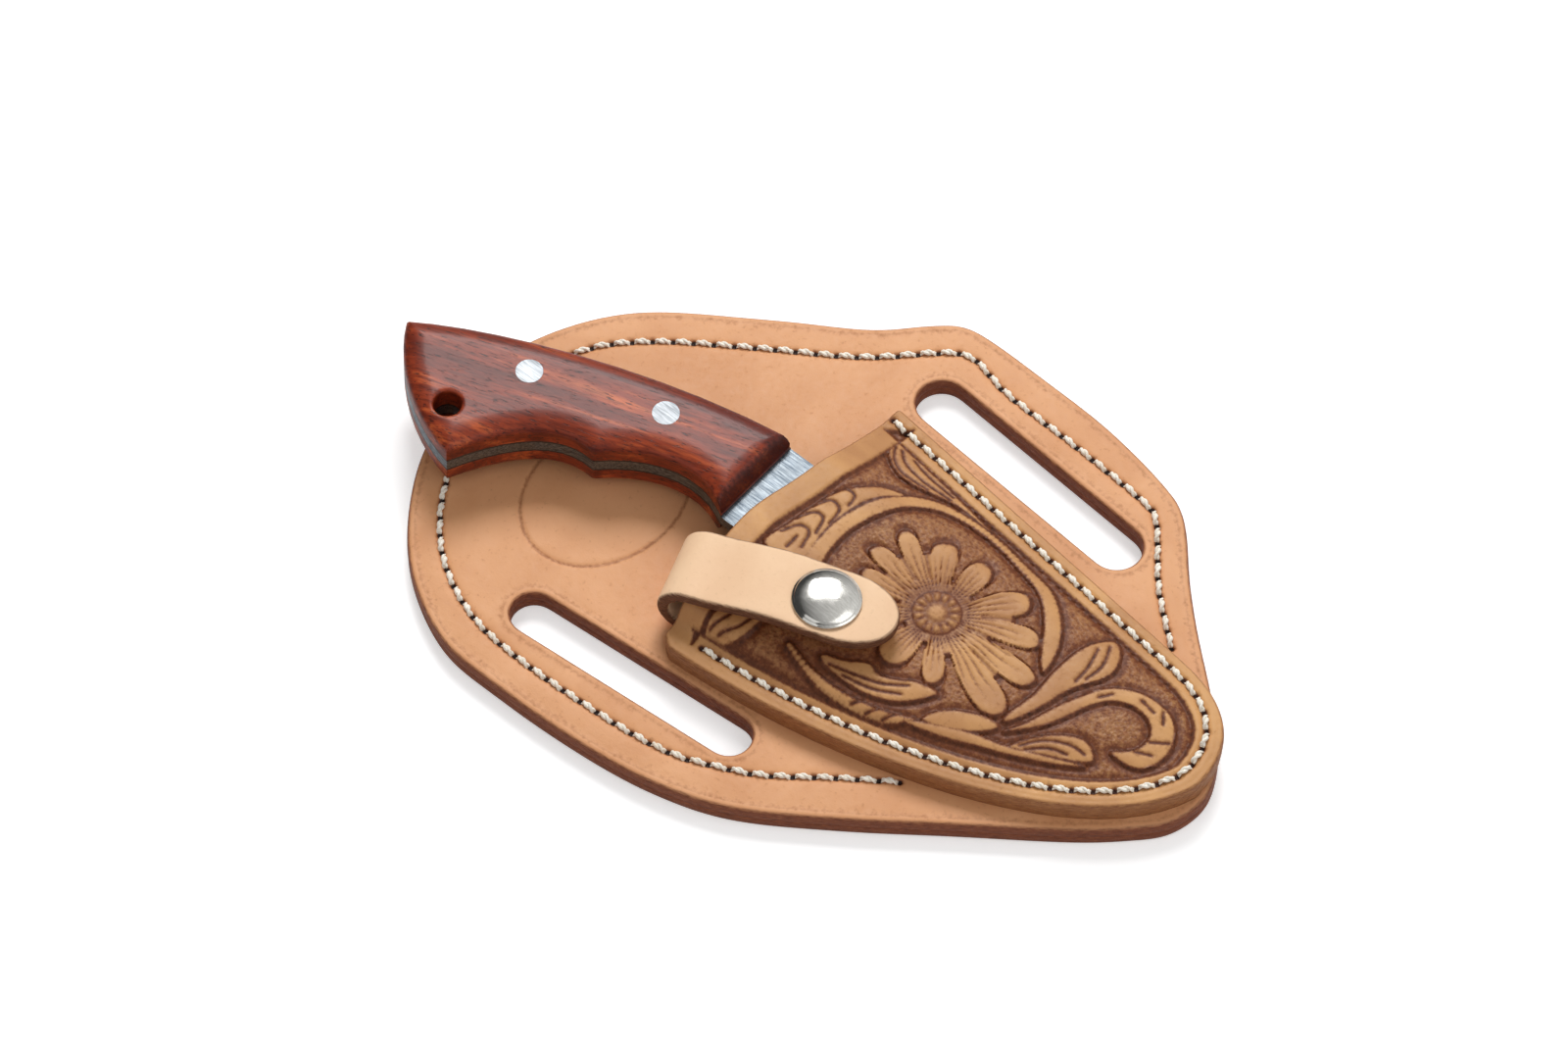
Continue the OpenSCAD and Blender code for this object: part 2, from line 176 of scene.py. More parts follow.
def within(points, loop):
    """Whether each point lies inside the closed path."""
    x, y = points[:, 0], points[:, 1]
    res = np.zeros(len(points), bool)
    for a, b in zip(loop, np.roll(loop, -1, 0)):
        cross = (a[1] > y) != (b[1] > y)
        if cross.any():
            res ^= cross & (x < (b[0] - a[0]) * (y - a[1]) / (b[1] - a[1] + 1e-12) + a[0])
    return res


def between(points, rings):
    """Whether each point lies inside the first outline and outside the others."""
    keep = within(points, rings[0])
    for hole in rings[1:]:
        keep &= ~within(points, hole)
    return keep


def belly(length, width, start, stop, n):
    """The lower side's curve, from one angle to another round the heel."""
    a = np.radians(np.linspace(start, stop, n + 1))
    return np.stack([HEEL[0] + length * np.cos(a).clip(0) ** 1.143,
                     HEEL[1] - width * np.sin(a) ** 0.909], 1)


def pocket_side(y, length, width, start, corner, stop):
    """From the mouth along the straight side, round the tip and back along the lower side."""
    fall = math.tan(math.radians(7.8))
    p = np.array([HEEL[0] + length - corner, y - fall * (length - corner)])
    q = np.array([HEEL[0] + length - 0.4, p[1] - corner * 0.13])
    low = belly(length, width, 8, stop, 44)
    t = np.linspace(0, 1, 17)[:, None]
    s = 1 - t
    turn = (p * s ** 3 + (p * 0.33 + q * 0.67) * 3 * s * s * t
            + (q * 0.67 + low[0] * 0.33) * 3 * s * t * t + low[0] * t ** 3)
    return np.vstack([[[start, y - fall * start]], turn, low[1:]])


def pocket_outline():
    side = pocket_side(SEAM[2] + RIMS[2], SEAM[0] + RIMS[0], SEAM[1] + RIMS[1], 2, 24, 87.5)
    return np.vstack([spline(MOUTH, 6), side])


# ---------- meshes ----------

def cad_copy(node):
    """A merged copy of a CAD node's mesh, in metres."""
    bm = bmesh.new()
    bm.from_mesh(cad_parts[node].data)
    bmesh.ops.remove_doubles(bm, verts=bm.verts, dist=1e-6)
    return bm


def flat_loops(node, height, turn=None, tol=0.01):
    """The closed outlines of a CAD node's flat face at a height, longest first, in millimetres."""
    bm = cad_copy(node)
    co = {v: (turn @ v.co if turn else v.co.copy()) / MM for v in bm.verts}
    flat = {f for f in bm.faces if all(abs(co[v].z - height) < tol for v in f.verts)}
    step = {}
    for f in flat:
        for loop in f.loops:
            others = [g for g in loop.edge.link_faces if g is not f and g in flat]
            if not others:
                step[loop.vert] = loop.link_loop_next.vert
    loops = []
    while step:
        start, at = next(iter(step.items()))
        path = [start]
        del step[start]
        while at in step:
            path.append(at)
            at = step.pop(at)
        loops.append(np.array([co[v].xy for v in path]))
    bm.free()
    return sorted(loops, key=lambda p: -abs(area(p)))


def islands(node):
    """Middle, half length along its run and lowest height of each loose piece of a CAD node."""
    bm = cad_copy(node)
    left = set(bm.verts)
    out = []
    while left:
        group, todo = [], [left.pop()]
        while todo:
            v = todo.pop()
            group.append(v.co / MM)
            for e in v.link_edges:
                w = e.other_vert(v)
                if w in left:
                    left.discard(w)
                    todo.append(w)
        p = np.array(group)
        mid = (p.max(0) + p.min(0)) / 2
        flat = p[:, :2] - p[:, :2].mean(0)
        way = np.linalg.svd(flat, full_matrices=False)[2][0]
        if way[0] < 0:
            way = -way
        run = flat @ way
        out.append((mid[:2], way * (run.max() - run.min()) / 2, p[:, 2].min()))
    bm.free()
    return out


def sheet(loops, insets, spacing, fine=None):
    """Triangles that fill the outlines: rows of points along each edge and an even net inside.
    fine is a path, a reach and a spacing: the net is closer there."""
    rings, verts, edges, rims = [], [], [], []
    for k, loop in enumerate(loops):
        if (area(loop) > 0) != (k == 0):
            loop = loop[::-1]
        rings.append(loop)
        for j, d in enumerate(insets):
            row = soften(beside(loop, d), 1) if j else loop
            base = len(verts)
            verts.extend(row)
            edges.extend((base + i, base + (i + 1) % len(row)) for i in range(len(row)))
            if j == 0:
                rims.append(np.arange(base, base + len(row)))
    lo, hi = rings[0].min(0), rings[0].max(0)

    def net(gap):
        ys = np.arange(lo[1], hi[1], gap * 0.866)
        xs = np.arange(lo[0], hi[0], gap)
        gx, gy = np.meshgrid(xs, ys)
        gx = gx + (np.arange(len(ys)) % 2)[:, None] * gap / 2
        pts = np.stack([gx.ravel(), gy.ravel()], 1)
        pts = pts[between(pts, rings)]
        return pts[nearest(pts, rings, True) > insets[-1] + gap * 0.6]

    inner = net(spacing)
    if fine:
        paths, reach, gap = fine
        close = net(gap)
        close = close[nearest(close, paths) <= reach]
        inner = np.vstack([inner[nearest(inner, paths) > reach + spacing * 0.3], close])
    verts.extend(inner)
    res = delaunay_2d_cdt([Vector(p) for p in verts], edges, [], 0, 1e-6)
    pts = np.array([tuple(v) for v in res[0]])
    tris = np.array(res[2])
    new = np.zeros(len(verts), int)
    for i, source in enumerate(res[3]):
        for s in source:
            new[s] = i
    keep = between(pts[tris].mean(1), rings)
    return {"pts": pts, "tris": tris[keep], "rims": [new[r] for r in rims],
            "far": nearest(pts, rings, True)}


def round_over(far, reach, drop):
    """How far a rounded edge falls below the face, at a distance from the outline."""
    t = np.clip(1 - far / reach, 0, 1)
    return drop * (1 - np.sqrt(np.clip(1 - t * t, 0, 1)))


def solid(name, top, low, tops, lows, walls=(0.5,), bulge=(0.0,), marks=None, place=None):
    """A closed piece from an upper and a lower sheet with the same outlines.
    marks gives values for the upper sheet's points; place turns (x, y, z) into the row frame."""
    up = np.column_stack([top["pts"], tops])
    down = np.column_stack([low["pts"], lows])
    verts, faces = [up, down], []
    faces.extend(map(tuple, top["tris"]))
    faces.extend(tuple(t[::-1] + len(up)) for t in low["tris"])
    total = len(up) + len(down)
    for upper, lower in zip(top["rims"], low["rims"]):
        rows = [upper]
        n = len(upper)
        out = -(beside(up[upper, :2], 1) - up[upper, :2])
        for t, b in zip(walls, bulge):
            row = up[upper] * (1 - t) + down[lower] * t
            row[:, :2] += out * b
            verts.append(row)
            rows.append(np.arange(total, total + n))
            total += n
        rows.append(lower + len(up))
        for a, b in zip(rows, rows[1:]):
            for i in range(n):
                j = (i + 1) % n
                faces.append((a[i], b[i], b[j], a[j]))
    co = np.vstack(verts)
    if place is not None:
        co = place(co)
    me = bpy.data.meshes.new(name)
    me.from_pydata((co * MM).tolist(), [], [tuple(int(i) for i in f) for f in faces])
    edge = np.ones(len(co))
    edge[:len(up)] = np.clip(1 - top["far"] / EDGE_REACH, 0, 1) ** 0.7
    edge[len(up):len(up) + len(down)] = np.clip(1 - low["far"] / EDGE_REACH, 0, 1) ** 0.7
    values = {"edge": edge}
    for key, value in (marks or {}).items():
        full = np.zeros(len(co))
        full[:len(up)] = value
        values[key] = full
    for key, value in values.items():
        data = me.attributes.new(key, "FLOAT", "POINT").data
        data.foreach_set("value", value.astype(np.float32))
    me.shade_smooth()
    me.set_sharp_from_angle(angle=math.radians(50))
    return piece(name, me)


def piece(name, mesh):
    """A new object in the scene."""
    obj = bpy.data.objects.new(name, mesh)
    bpy.context.scene.collection.objects.link(obj)
    return obj


def finish_piece(obj, body, slot, mat, *nodes):
    """Gives a new piece its finish, its body and the CAD nodes that it stands for."""
    obj.data.materials.clear()
    obj.data.materials.append(mat)
    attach(obj, body)
    if nodes:
        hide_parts(*nodes)
    return obj


# ---------- shader node groups and materials ----------

def group(name, inputs, outputs):
    """A new shader node group with named value inputs and named outputs."""
    g = bpy.data.node_groups.new(name, "ShaderNodeTree")
    for label, value in inputs:
        s = g.interface.new_socket(label, in_out="INPUT", socket_type="NodeSocketFloat")
        s.default_value = value
    for label, kind in outputs:
        g.interface.new_socket(label, in_out="OUTPUT", socket_type=kind)
    return g, g.nodes.new("NodeGroupInput"), g.nodes.new("NodeGroupOutput")


def node(tree, kind, sockets=(), **props):
    """A node with its properties set and its sockets set or linked."""
    n = tree.nodes.new(kind)
    for key, value in props.items():
        setattr(n, key, value)
    for key, value in dict(sockets).items():
        if isinstance(value, bpy.types.NodeSocket):
            tree.links.new(value, n.inputs[key])
        else:
            n.inputs[key].default_value = value
    return n


def math_node(tree, op, a, b=None, clamp=False):
    n = node(tree, "ShaderNodeMath", {0: a}, operation=op, use_clamp=clamp)
    if b is not None:
        if isinstance(b, bpy.types.NodeSocket):
            tree.links.new(b, n.inputs[1])
        else:
            n.inputs[1].default_value = b
    return n.outputs[0]


def remap(tree, value, low, high, to_low=0.0, to_high=1.0):
    return node(tree, "ShaderNodeMapRange", {"Value": value, "From Min": low, "From Max": high,
                                             "To Min": to_low, "To Max": to_high}).outputs[0]


def mix(tree, factor, a, b, blend="MIX"):
    n = tree.nodes.new("ShaderNodeMix")
    n.data_type = "RGBA"
    n.blend_type = blend
    for key, value in ((0, factor), (6, a), (7, b)):
        if isinstance(value, bpy.types.NodeSocket):
            tree.links.new(value, n.inputs[key])
        else:
            n.inputs[key].default_value = value
    return n.outputs[2]


def rgb(r, g, b):
    """A colour written as it shows, turned into the scene's linear values."""
    return tuple((c / 12.92 if c <= 0.04045 else ((c + 0.055) / 1.055) ** 2.4)
                 for c in (r / 255, g / 255, b / 255)) + (1.0,)


def leather_group():
    """Pores, fibre and cloudiness of vegetable-tanned leather."""
    g, start, end = group("leather grain", [("Pore size", 900.0), ("Cloud size", 45.0)],
                          [("Pores", "NodeSocketFloat"), ("Clouds", "NodeSocketFloat"),
                           ("Fibres", "NodeSocketFloat")])
    place = g.nodes.new("ShaderNodeTexCoord").outputs["Object"]
    pores = node(g, "ShaderNodeTexNoise", {"Vector": place, "Scale": start.outputs["Pore size"],
                                           "Detail": 4.0, "Roughness": 0.62})
    clouds = node(g, "ShaderNodeTexNoise", {"Vector": place, "Scale": start.outputs["Cloud size"],
                                            "Detail": 5.0, "Roughness": 0.55, "Distortion": 0.6})
    long = node(g, "ShaderNodeMapping", {"Vector": place, "Scale": (0.35, 0.35, 3.0)})
    fibres = node(g, "ShaderNodeTexNoise", {"Vector": long.outputs[0], "Scale": 1500.0,
                                            "Detail": 3.0, "Roughness": 0.7})
    for name, n in (("Pores", pores), ("Clouds", clouds), ("Fibres", fibres)):
        g.links.new(n.outputs[0], end.inputs[name])
    return g


def scuff_group():
    """Fine handling marks on hard surfaces."""
    g, start, end = group("handling marks", [("Size", 160.0)],
                          [("Smudge", "NodeSocketFloat"), ("Scratch", "NodeSocketFloat")])
    place = g.nodes.new("ShaderNodeTexCoord").outputs["Object"]
    smudge = node(g, "ShaderNodeTexNoise", {"Vector": place, "Scale": start.outputs["Size"],
                                            "Detail": 4.0, "Roughness": 0.6})
    turned = node(g, "ShaderNodeMapping", {"Vector": place, "Rotation": (0.0, 0.0, 0.9),
                                           "Scale": (0.05, 1.0, 1.0)})
    scratch = node(g, "ShaderNodeTexNoise", {"Vector": turned.outputs[0], "Scale": 2600.0,
                                             "Detail": 3.0, "Roughness": 0.6})
    g.links.new(smudge.outputs[0], end.inputs["Smudge"])
    g.links.new(scratch.outputs[0], end.inputs["Scratch"])
    return g


def new_material(name, roughness=0.5, metallic=0.0, **shader):
    m = bpy.data.materials.new(name)
    m.use_nodes = True
    t = m.node_tree
    s = next(n for n in t.nodes if n.type == "BSDF_PRINCIPLED")
    s.inputs["Roughness"].default_value = roughness
    s.inputs["Metallic"].default_value = metallic
    for key, value in shader.items():
        s.inputs[key.replace("_", " ")].default_value = value
    return m, t, s


def bump(t, s, height, depth, strength=1.0):
    """Fine relief on a material's surface, depth in metres."""
    b = node(t, "ShaderNodeBump", {"Height": height, "Distance": depth, "Strength": strength})
    t.links.new(b.outputs[0], s.inputs["Normal"])


def leather(name, face, cloud, edge, fibre, antique_and_shade=None, cut=None, rough=0.52, pore=900.0):
    """Vegetable-tanned leather: a face colour with clouds, a fibrous edge and darker recesses."""
    m, t, s = new_material(name, Specular_IOR_Level=0.24)
    grain = t.nodes.new("ShaderNodeGroup")
    grain.node_tree = bpy.data.node_groups["leather grain"]
    grain.inputs["Pore size"].default_value = pore
    grain.inputs["Cloud size"].default_value = 42.0
    clouds = remap(t, grain.outputs["Clouds"], 0.34, 0.66)
    pores = grain.outputs["Pores"]
    colour = mix(t, clouds, face, cloud)
    specks = remap(t, pores, 0.6, 0.74, 0.0, 0.12)
    colour = mix(t, specks, colour, fibre)
    rim = node(t, "ShaderNodeAttribute", attribute_name="edge").outputs["Fac"]
    ragged = math_node(t, "ADD", rim, math_node(t, "MULTIPLY", math_node(
        t, "SUBTRACT", grain.outputs["Fibres"], 0.5), 0.5))
    ragged = remap(t, ragged, 0.45, 0.95)
    edged = mix(t, remap(t, grain.outputs["Fibres"], 0.35, 0.65), edge, fibre)
    colour = mix(t, ragged, colour, edged)
    height = math_node(t, "ADD", math_node(t, "MULTIPLY", pores, 0.5),
                       math_node(t, "MULTIPLY", math_node(t, "MULTIPLY", grain.outputs["Fibres"],
                                                          ragged), 1.6))
    roughness = remap(t, pores, 0.3, 0.7, rough - 0.07, rough + 0.1)
    if antique_and_shade:
        # Painted shade: the recesses, cuts and stitch holes darken towards the last two colours,
        # together with the darker finish that collects in them.
        sunk_shade = node(t, "ShaderNodeAttribute", attribute_name="antique_and_shade").outputs["Fac"]
        mottled_shade = math_node(t, "ADD", sunk_shade, math_node(t, "MULTIPLY", math_node(
            t, "SUBTRACT", pores, 0.5), 0.9))
        colour = mix(t, remap(t, mottled_shade, 0.12, 0.75), colour, antique_and_shade)
        colour = mix(t, remap(t, mottled_shade, 0.72, 1.15), colour, cut)
        mat = node(t, "ShaderNodeAttribute", attribute_name="matted").outputs["Fac"]
        tracks = node(t, "ShaderNodeTexVoronoi", {"Scale": 1150.0, "Vector": t.nodes.new(
            "ShaderNodeTexCoord").outputs["Object"]})
        track = math_node(t, "MULTIPLY", tracks.outputs["Distance"], mat)
        colour = mix(t, remap(t, track, 0.4, 0.9, 0.0, 0.45), colour, edge)
        height = math_node(t, "ADD", height, math_node(t, "MULTIPLY", track, 1.6))
    t.links.new(colour, s.inputs["Base Color"])
    t.links.new(roughness, s.inputs["Roughness"])
    bump(t, s, height, 0.00016, 0.7)
    return m


def thread_material():
    m, t, s = new_material("waxed thread", 0.6)
    place = t.nodes.new("ShaderNodeTexCoord").outputs["Object"]
    fuzz = node(t, "ShaderNodeTexNoise", {"Vector": place, "Scale": 2200.0, "Detail": 3.0})
    dirt = node(t, "ShaderNodeTexNoise", {"Vector": place, "Scale": 90.0, "Detail": 3.0})
    colour = mix(t, remap(t, fuzz.outputs[0], 0.4, 0.7), rgb(252, 247, 236), rgb(232, 220, 198))
    colour = mix(t, remap(t, dirt.outputs[0], 0.52, 0.75, 0, 0.35), colour, rgb(206, 180, 144))
    t.links.new(colour, s.inputs["Base Color"])
    bump(t, s, fuzz.outputs[0], 0.00012, 0.6)
    return m


def wood_material():
    m, t, s = new_material("oiled hardwood", 0.4, Specular_IOR_Level=0.22, Coat_Weight=0.1,
                           Coat_Roughness=0.14)
    place = t.nodes.new("ShaderNodeTexCoord").outputs["Object"]
    turned = node(t, "ShaderNodeMapping", {"Vector": place, "Rotation": (0.0, 0.0, -0.33)})
    along = node(t, "ShaderNodeMapping", {"Vector": turned.outputs[0], "Scale": (0.09, 1.0, 1.0)})
    figure = node(t, "ShaderNodeTexNoise", {"Vector": along.outputs[0], "Scale": 210.0,
                                            "Detail": 6.0, "Roughness": 0.6, "Distortion": 0.5})
    fine = node(t, "ShaderNodeTexNoise", {"Vector": along.outputs[0], "Scale": 1500.0,
                                          "Detail": 4.0, "Roughness": 0.65})
    pores = node(t, "ShaderNodeTexNoise", {"Vector": node(t, "ShaderNodeMapping", {
        "Vector": turned.outputs[0], "Scale": (0.16, 1.0, 1.0)}).outputs[0], "Scale": 2300.0,
        "Detail": 2.0, "Roughness": 0.5})
    patch = node(t, "ShaderNodeTexNoise", {"Vector": place, "Scale": 32.0, "Detail": 3.0})
    colour = mix(t, remap(t, figure.outputs[0], 0.36, 0.62), rgb(100, 32, 16), rgb(158, 62, 30))
    colour = mix(t, remap(t, figure.outputs[0], 0.54, 0.7, 0, 0.8), colour, rgb(206, 106, 54))
    colour = mix(t, remap(t, fine.outputs[0], 0.46, 0.64, 0, 0.55), colour, rgb(62, 18, 8))
    colour = mix(t, remap(t, patch.outputs[0], 0.46, 0.68, 0, 0.4), colour, rgb(84, 24, 12))
    dark = remap(t, pores.outputs[0], 0.6, 0.68, 0, 0.85)
    colour = mix(t, dark, colour, rgb(34, 10, 8))
    end = node(t, "ShaderNodeAttribute", attribute_name="end grain").outputs["Fac"]
    colour = mix(t, math_node(t, "MULTIPLY", end, 0.7), colour, rgb(52, 16, 12))
    t.links.new(colour, s.inputs["Base Color"])
    bump(t, s, math_node(t, "SUBTRACT", math_node(t, "MULTIPLY", fine.outputs[0], 0.4), dark),
         0.00008, 0.5)
    return m


def metal(name, colour, shade, rough, lines, scale=160.0):
    """Metal with a lay of fine lines and a few smudges."""
    m, t, s = new_material(name, rough, 1.0)
    marks = t.nodes.new("ShaderNodeGroup")
    marks.node_tree = bpy.data.node_groups["handling marks"]
    marks.inputs["Size"].default_value = scale
    base = mix(t, remap(t, marks.outputs["Scratch"], 0.35, 0.65), colour, shade)
    t.links.new(base, s.inputs["Base Color"])
    t.links.new(remap(t, marks.outputs["Smudge"], 0.35, 0.7, rough, rough + 0.12),
                s.inputs["Roughness"])
    bump(t, s, marks.outputs["Scratch"], 0.00003, lines)
    return m


def liner_material():
    m, t, s = new_material("black liner", 0.5)
    place = t.nodes.new("ShaderNodeTexCoord").outputs["Object"]
    n = node(t, "ShaderNodeTexNoise", {"Vector": place, "Scale": 700.0})
    t.links.new(mix(t, n.outputs[0], rgb(22, 20, 20), rgb(44, 40, 38)), s.inputs["Base Color"])
    bump(t, s, n.outputs[0], 0.00004, 0.4)
    return m


def make_materials():
    """The shared groups, and every finish by its short name."""
    leather_group()
    scuff_group()
    sizes = bpy.context.scene.knife_sheath
    back = tuple(sizes.backer_colour) + (1.0,)
    gold = tuple(sizes.pocket_colour) + (1.0,)
    pale = tuple(sizes.strap_colour) + (1.0,)
    return {
        # The last two colours of the backer and the pocket darken their recesses: the finish that
        # collects there and painted shade.
        "backer": leather("backer leather", back, rgb(210, 150, 104), rgb(150, 86, 56),
                          rgb(108, 56, 36), rgb(150, 92, 56), rgb(38, 20, 14), 0.5),
        "pocket": leather("tooled leather", gold, rgb(178, 126, 80), rgb(176, 120, 76),
                          rgb(132, 80, 48), rgb(112, 60, 32), rgb(52, 24, 12), 0.47),
        "strap": leather("strap leather", pale, rgb(232, 192, 154), rgb(126, 82, 56),
                         rgb(84, 50, 34), rough=0.55),
        "thread": thread_material(),
        "wood": wood_material(),
        "steel": metal("satin blade steel", rgb(134, 141, 146), rgb(78, 86, 94), 0.42, 1.0),
        "pin": metal("brushed pin metal", rgb(158, 161, 164), rgb(112, 116, 120), 0.44, 0.8),
        "snap": metal("polished snap metal", rgb(214, 212, 206), rgb(196, 194, 188), 0.1, 0.05),
        "spring": metal("spring steel", rgb(120, 120, 124), rgb(90, 90, 94), 0.4, 0.4),
        "liner": liner_material(),
    }


# ---------- sheath ----------

def stitch_dots(node_name, low, high):
    """Where the thread goes into the leather, from the CAD stitches in a range of heights."""
    dots = []
    for mid, half, z in islands(node_name):
        if low <= z <= high:
            dots += [mid - half * 1.3, mid + half * 1.3]
    return np.array(dots)


def middle_lines(node_name, low, high):
    """Both ends of each stitch of a CAD node in a range of heights."""
    found = sorted((i for i in islands(node_name) if low <= i[2] <= high), key=lambda i: i[0][0])
    return [[mid - half, mid + half] for mid, half, z in found]


def seam_distance(points, rows):
    """Distance of each point from the nearest stitch, for points close to one."""
    out = np.full(len(points), FAR_OFF)
    for row in rows:
        a, b = row
        reach = (np.abs(points - (a + b) / 2).max(1) < 6)
        if reach.any():
            out[reach] = np.minimum(out[reach], distance(points[reach], np.array([a, b])))
    return out


def make_backer(mats):
    """The backer: grooved and pricked along its seam, with both belt slots."""
    loops = flat_loops("backer_face", LEATHER)
    outline = [soften(even(spline(loops[0], 3, True), 0.9, True), 3)]
    outline += [soften(even(p, 0.7, True), 2) for p in loops[1:3]]
    rows = middle_lines("backer_thread", 4, 9)
    dots = stitch_dots("backer_thread", 4, 9)
    low_rows = middle_lines("backer_thread", -1, 3) + middle_lines("pocket_thread", -1, 3)
    insets = (0, 0.12, 0.35, 0.7, 1.2, 1.7)
    oval = np.array([(OVAL[0] + OVAL[2] * math.cos(a), OVAL[1] + OVAL[3] * math.sin(a))
                     for a in np.linspace(0, 2 * math.pi, 73)])
    top = sheet(outline, insets, 1.5, ([np.array(r) for r in rows] + [oval], 1.8, 0.5))
    low = sheet(outline, insets, 1.5, ([np.array(r) for r in low_rows], 1.6, 0.7))
    p = top["pts"]
    seam = seam_distance(p, rows)
    hole = near_dots(p, dots)
    far = top["far"]
    z = BACKER_TOP - round_over(far, 1.1, 1.0)
    z += 0.10 * np.sin(p[:, 0] * 0.11 + 1.3) * np.sin(p[:, 1] * 0.09) * np.clip(far / 8, 0, 1)
    z -= 0.42 * fade(seam, 1.0)
    z -= 0.8 * fade(hole, 0.62)
    z -= 0.14 * fade(far - 1.6, 0.35)
    ring = distance(p, oval)
    z -= 0.28 * fade(ring, 0.5)
    # Painted shade in the seam's groove, the stitch holes, the crease inside the edge and the oval
    # line, together with the darker finish that collects there.
    antique_and_shade = (0.5 * fade(seam, 0.9) + 1.6 * fade(hole, 0.66)
            + 0.3 * fade(far - 1.6, 0.35) + 0.6 * fade(ring, 0.45))
    q = low["pts"]
    zl = round_over(low["far"], 1.1, 1.0)
    zl += 1.15 * fade(seam_distance(q, low_rows), 0.95, 4)
    obj = solid("backer", top, low, z, zl, (0.2, 0.42, 0.5, 0.58, 0.8),
                (0.12, 0.08, -0.1, 0.08, 0.12), {"antique_and_shade": antique_and_shade})
    finish_piece(obj, "sheath", "backer_leather", mats["backer"], "backer_face", "backer_lining")


# Raised parts of the tooling: closed outlines through these points.
RAISED = {
    "corner leaf": [(6.9, 30.8), (13.3, 30.0), (23.4, 28.4), (33.4, 26.5), (41.5, 24.8),
                    (37.6, 24.9), (29.7, 25.4), (22.1, 23.5), (16.3, 22.6), (11.7, 24.2),
                    (8.3, 27.2)],
    "mouth leaf": [(4.9, -12.9), (5.9, -4.9), (7.1, 2.2), (8.8, 8.7), (12.2, 13.4), (15.6, 17.0),
                   (20.3, 18.6), (17.0, 14.1), (14.7, 9.4), (13.5, 3.3), (13.3, -2.7),
                   (14.2, -11.6)],
    "low leaf": [(8.2, -30.5), (8.5, -37.8), (12.2, -38.3), (16.1, -35.4), (17.3, -30.7),
                 (16.6, -25.5), (10.7, -25.7)],
    "right stem": [(73.6, -12.0), (74.9, -4.0), (74.7, 3.0), (75.1, 10.0), (76.6, 15.9),
                   (79.5, 19.8), (82.7, 17.8), (84.6, 13.3), (83.9, 9.3), (81.7, 5.7),
                   (79.7, 1.1), (78.5, -3.9), (76.8, -8.9), (74.9, -12.9)],
    "tip scroll": [(75.6, -15.2), (78.3, -9.9), (80.2, -3.8), (82.7, 2.2), (86.1, 8.3),
                   (91.9, 12.2), (97.8, 13.0), (102.5, 11.5), (105.7, 7.2), (106.3, 2.3),
                   (104.3, -2.2), (100.4, -3.9), (96.6, -3.6), (98.6, -1.6), (100.7, 1.5),
                   (100.6, 5.4), (97.8, 8.0), (93.4, 8.5), (89.0, 6.4), (86.1, 2.3),
                   (84.1, -2.7), (81.2, -8.8)],
    "tip leaf": [(78.9, -17.2), (81.5, -12.1), (86.0, -7.4), (90.4, -5.2), (93.7, -6.2),
                 (94.9, -8.2), (91.1, -11.1), (84.7, -14.4)],
    "low stem": [(56.8, -27.4), (65.0, -25.2), (73.9, -21.4), (82.7, -17.4), (90.5, -13.0),
                 (94.4, -9.9), (85.7, -13.8), (77.9, -17.5), (70.1, -20.0), (62.2, -23.8)],
    "tongue": [(60.3, -24.5), (61.2, -21.1), (64.9, -17.7), (70.4, -15.0), (74.2, -15.0),
               (71.6, -18.7), (65.6, -22.7)],
    "under leaf": [(33.1, -26.4), (38.0, -24.3), (42.6, -21.4), (45.9, -22.2), (49.8, -20.6),
                   (53.8, -18.1), (58.7, -17.4), (56.6, -21.3), (52.5, -25.2), (46.6, -27.6),
                   (40.7, -28.3), (34.9, -28.0)],
}
# Stems of changing width: x, y and half width.
STEMS = [
    [(17.6, -21.5, 2.0), (16.3, -11.6, 2.4), (15.3, -3.6, 2), (15.5, 3.4, 2), (18.1, 11.5, 2),
     (22.3, 18.2, 1.8), (28.1, 22.2, 1.4), (35.8, 23.7, 1.1), (43.7, 23.4, 1.1),
     (51.8, 21.7, 1.2), (59.9, 19.5, 1.7), (65.9, 14.5, 2), (69.5, 9.4, 2), (71.7, 4.9, 1.3),
     (72.9, 2.5, 0.3)],
    [(26.1, -29.4, 0.8), (33.8, -31.4, 1.1), (40.6, -31.8, 1.3), (48.4, -30.6, 1.4),
     (54.2, -28.7, 1.3), (58.3, -25.9, 0.5)],
]
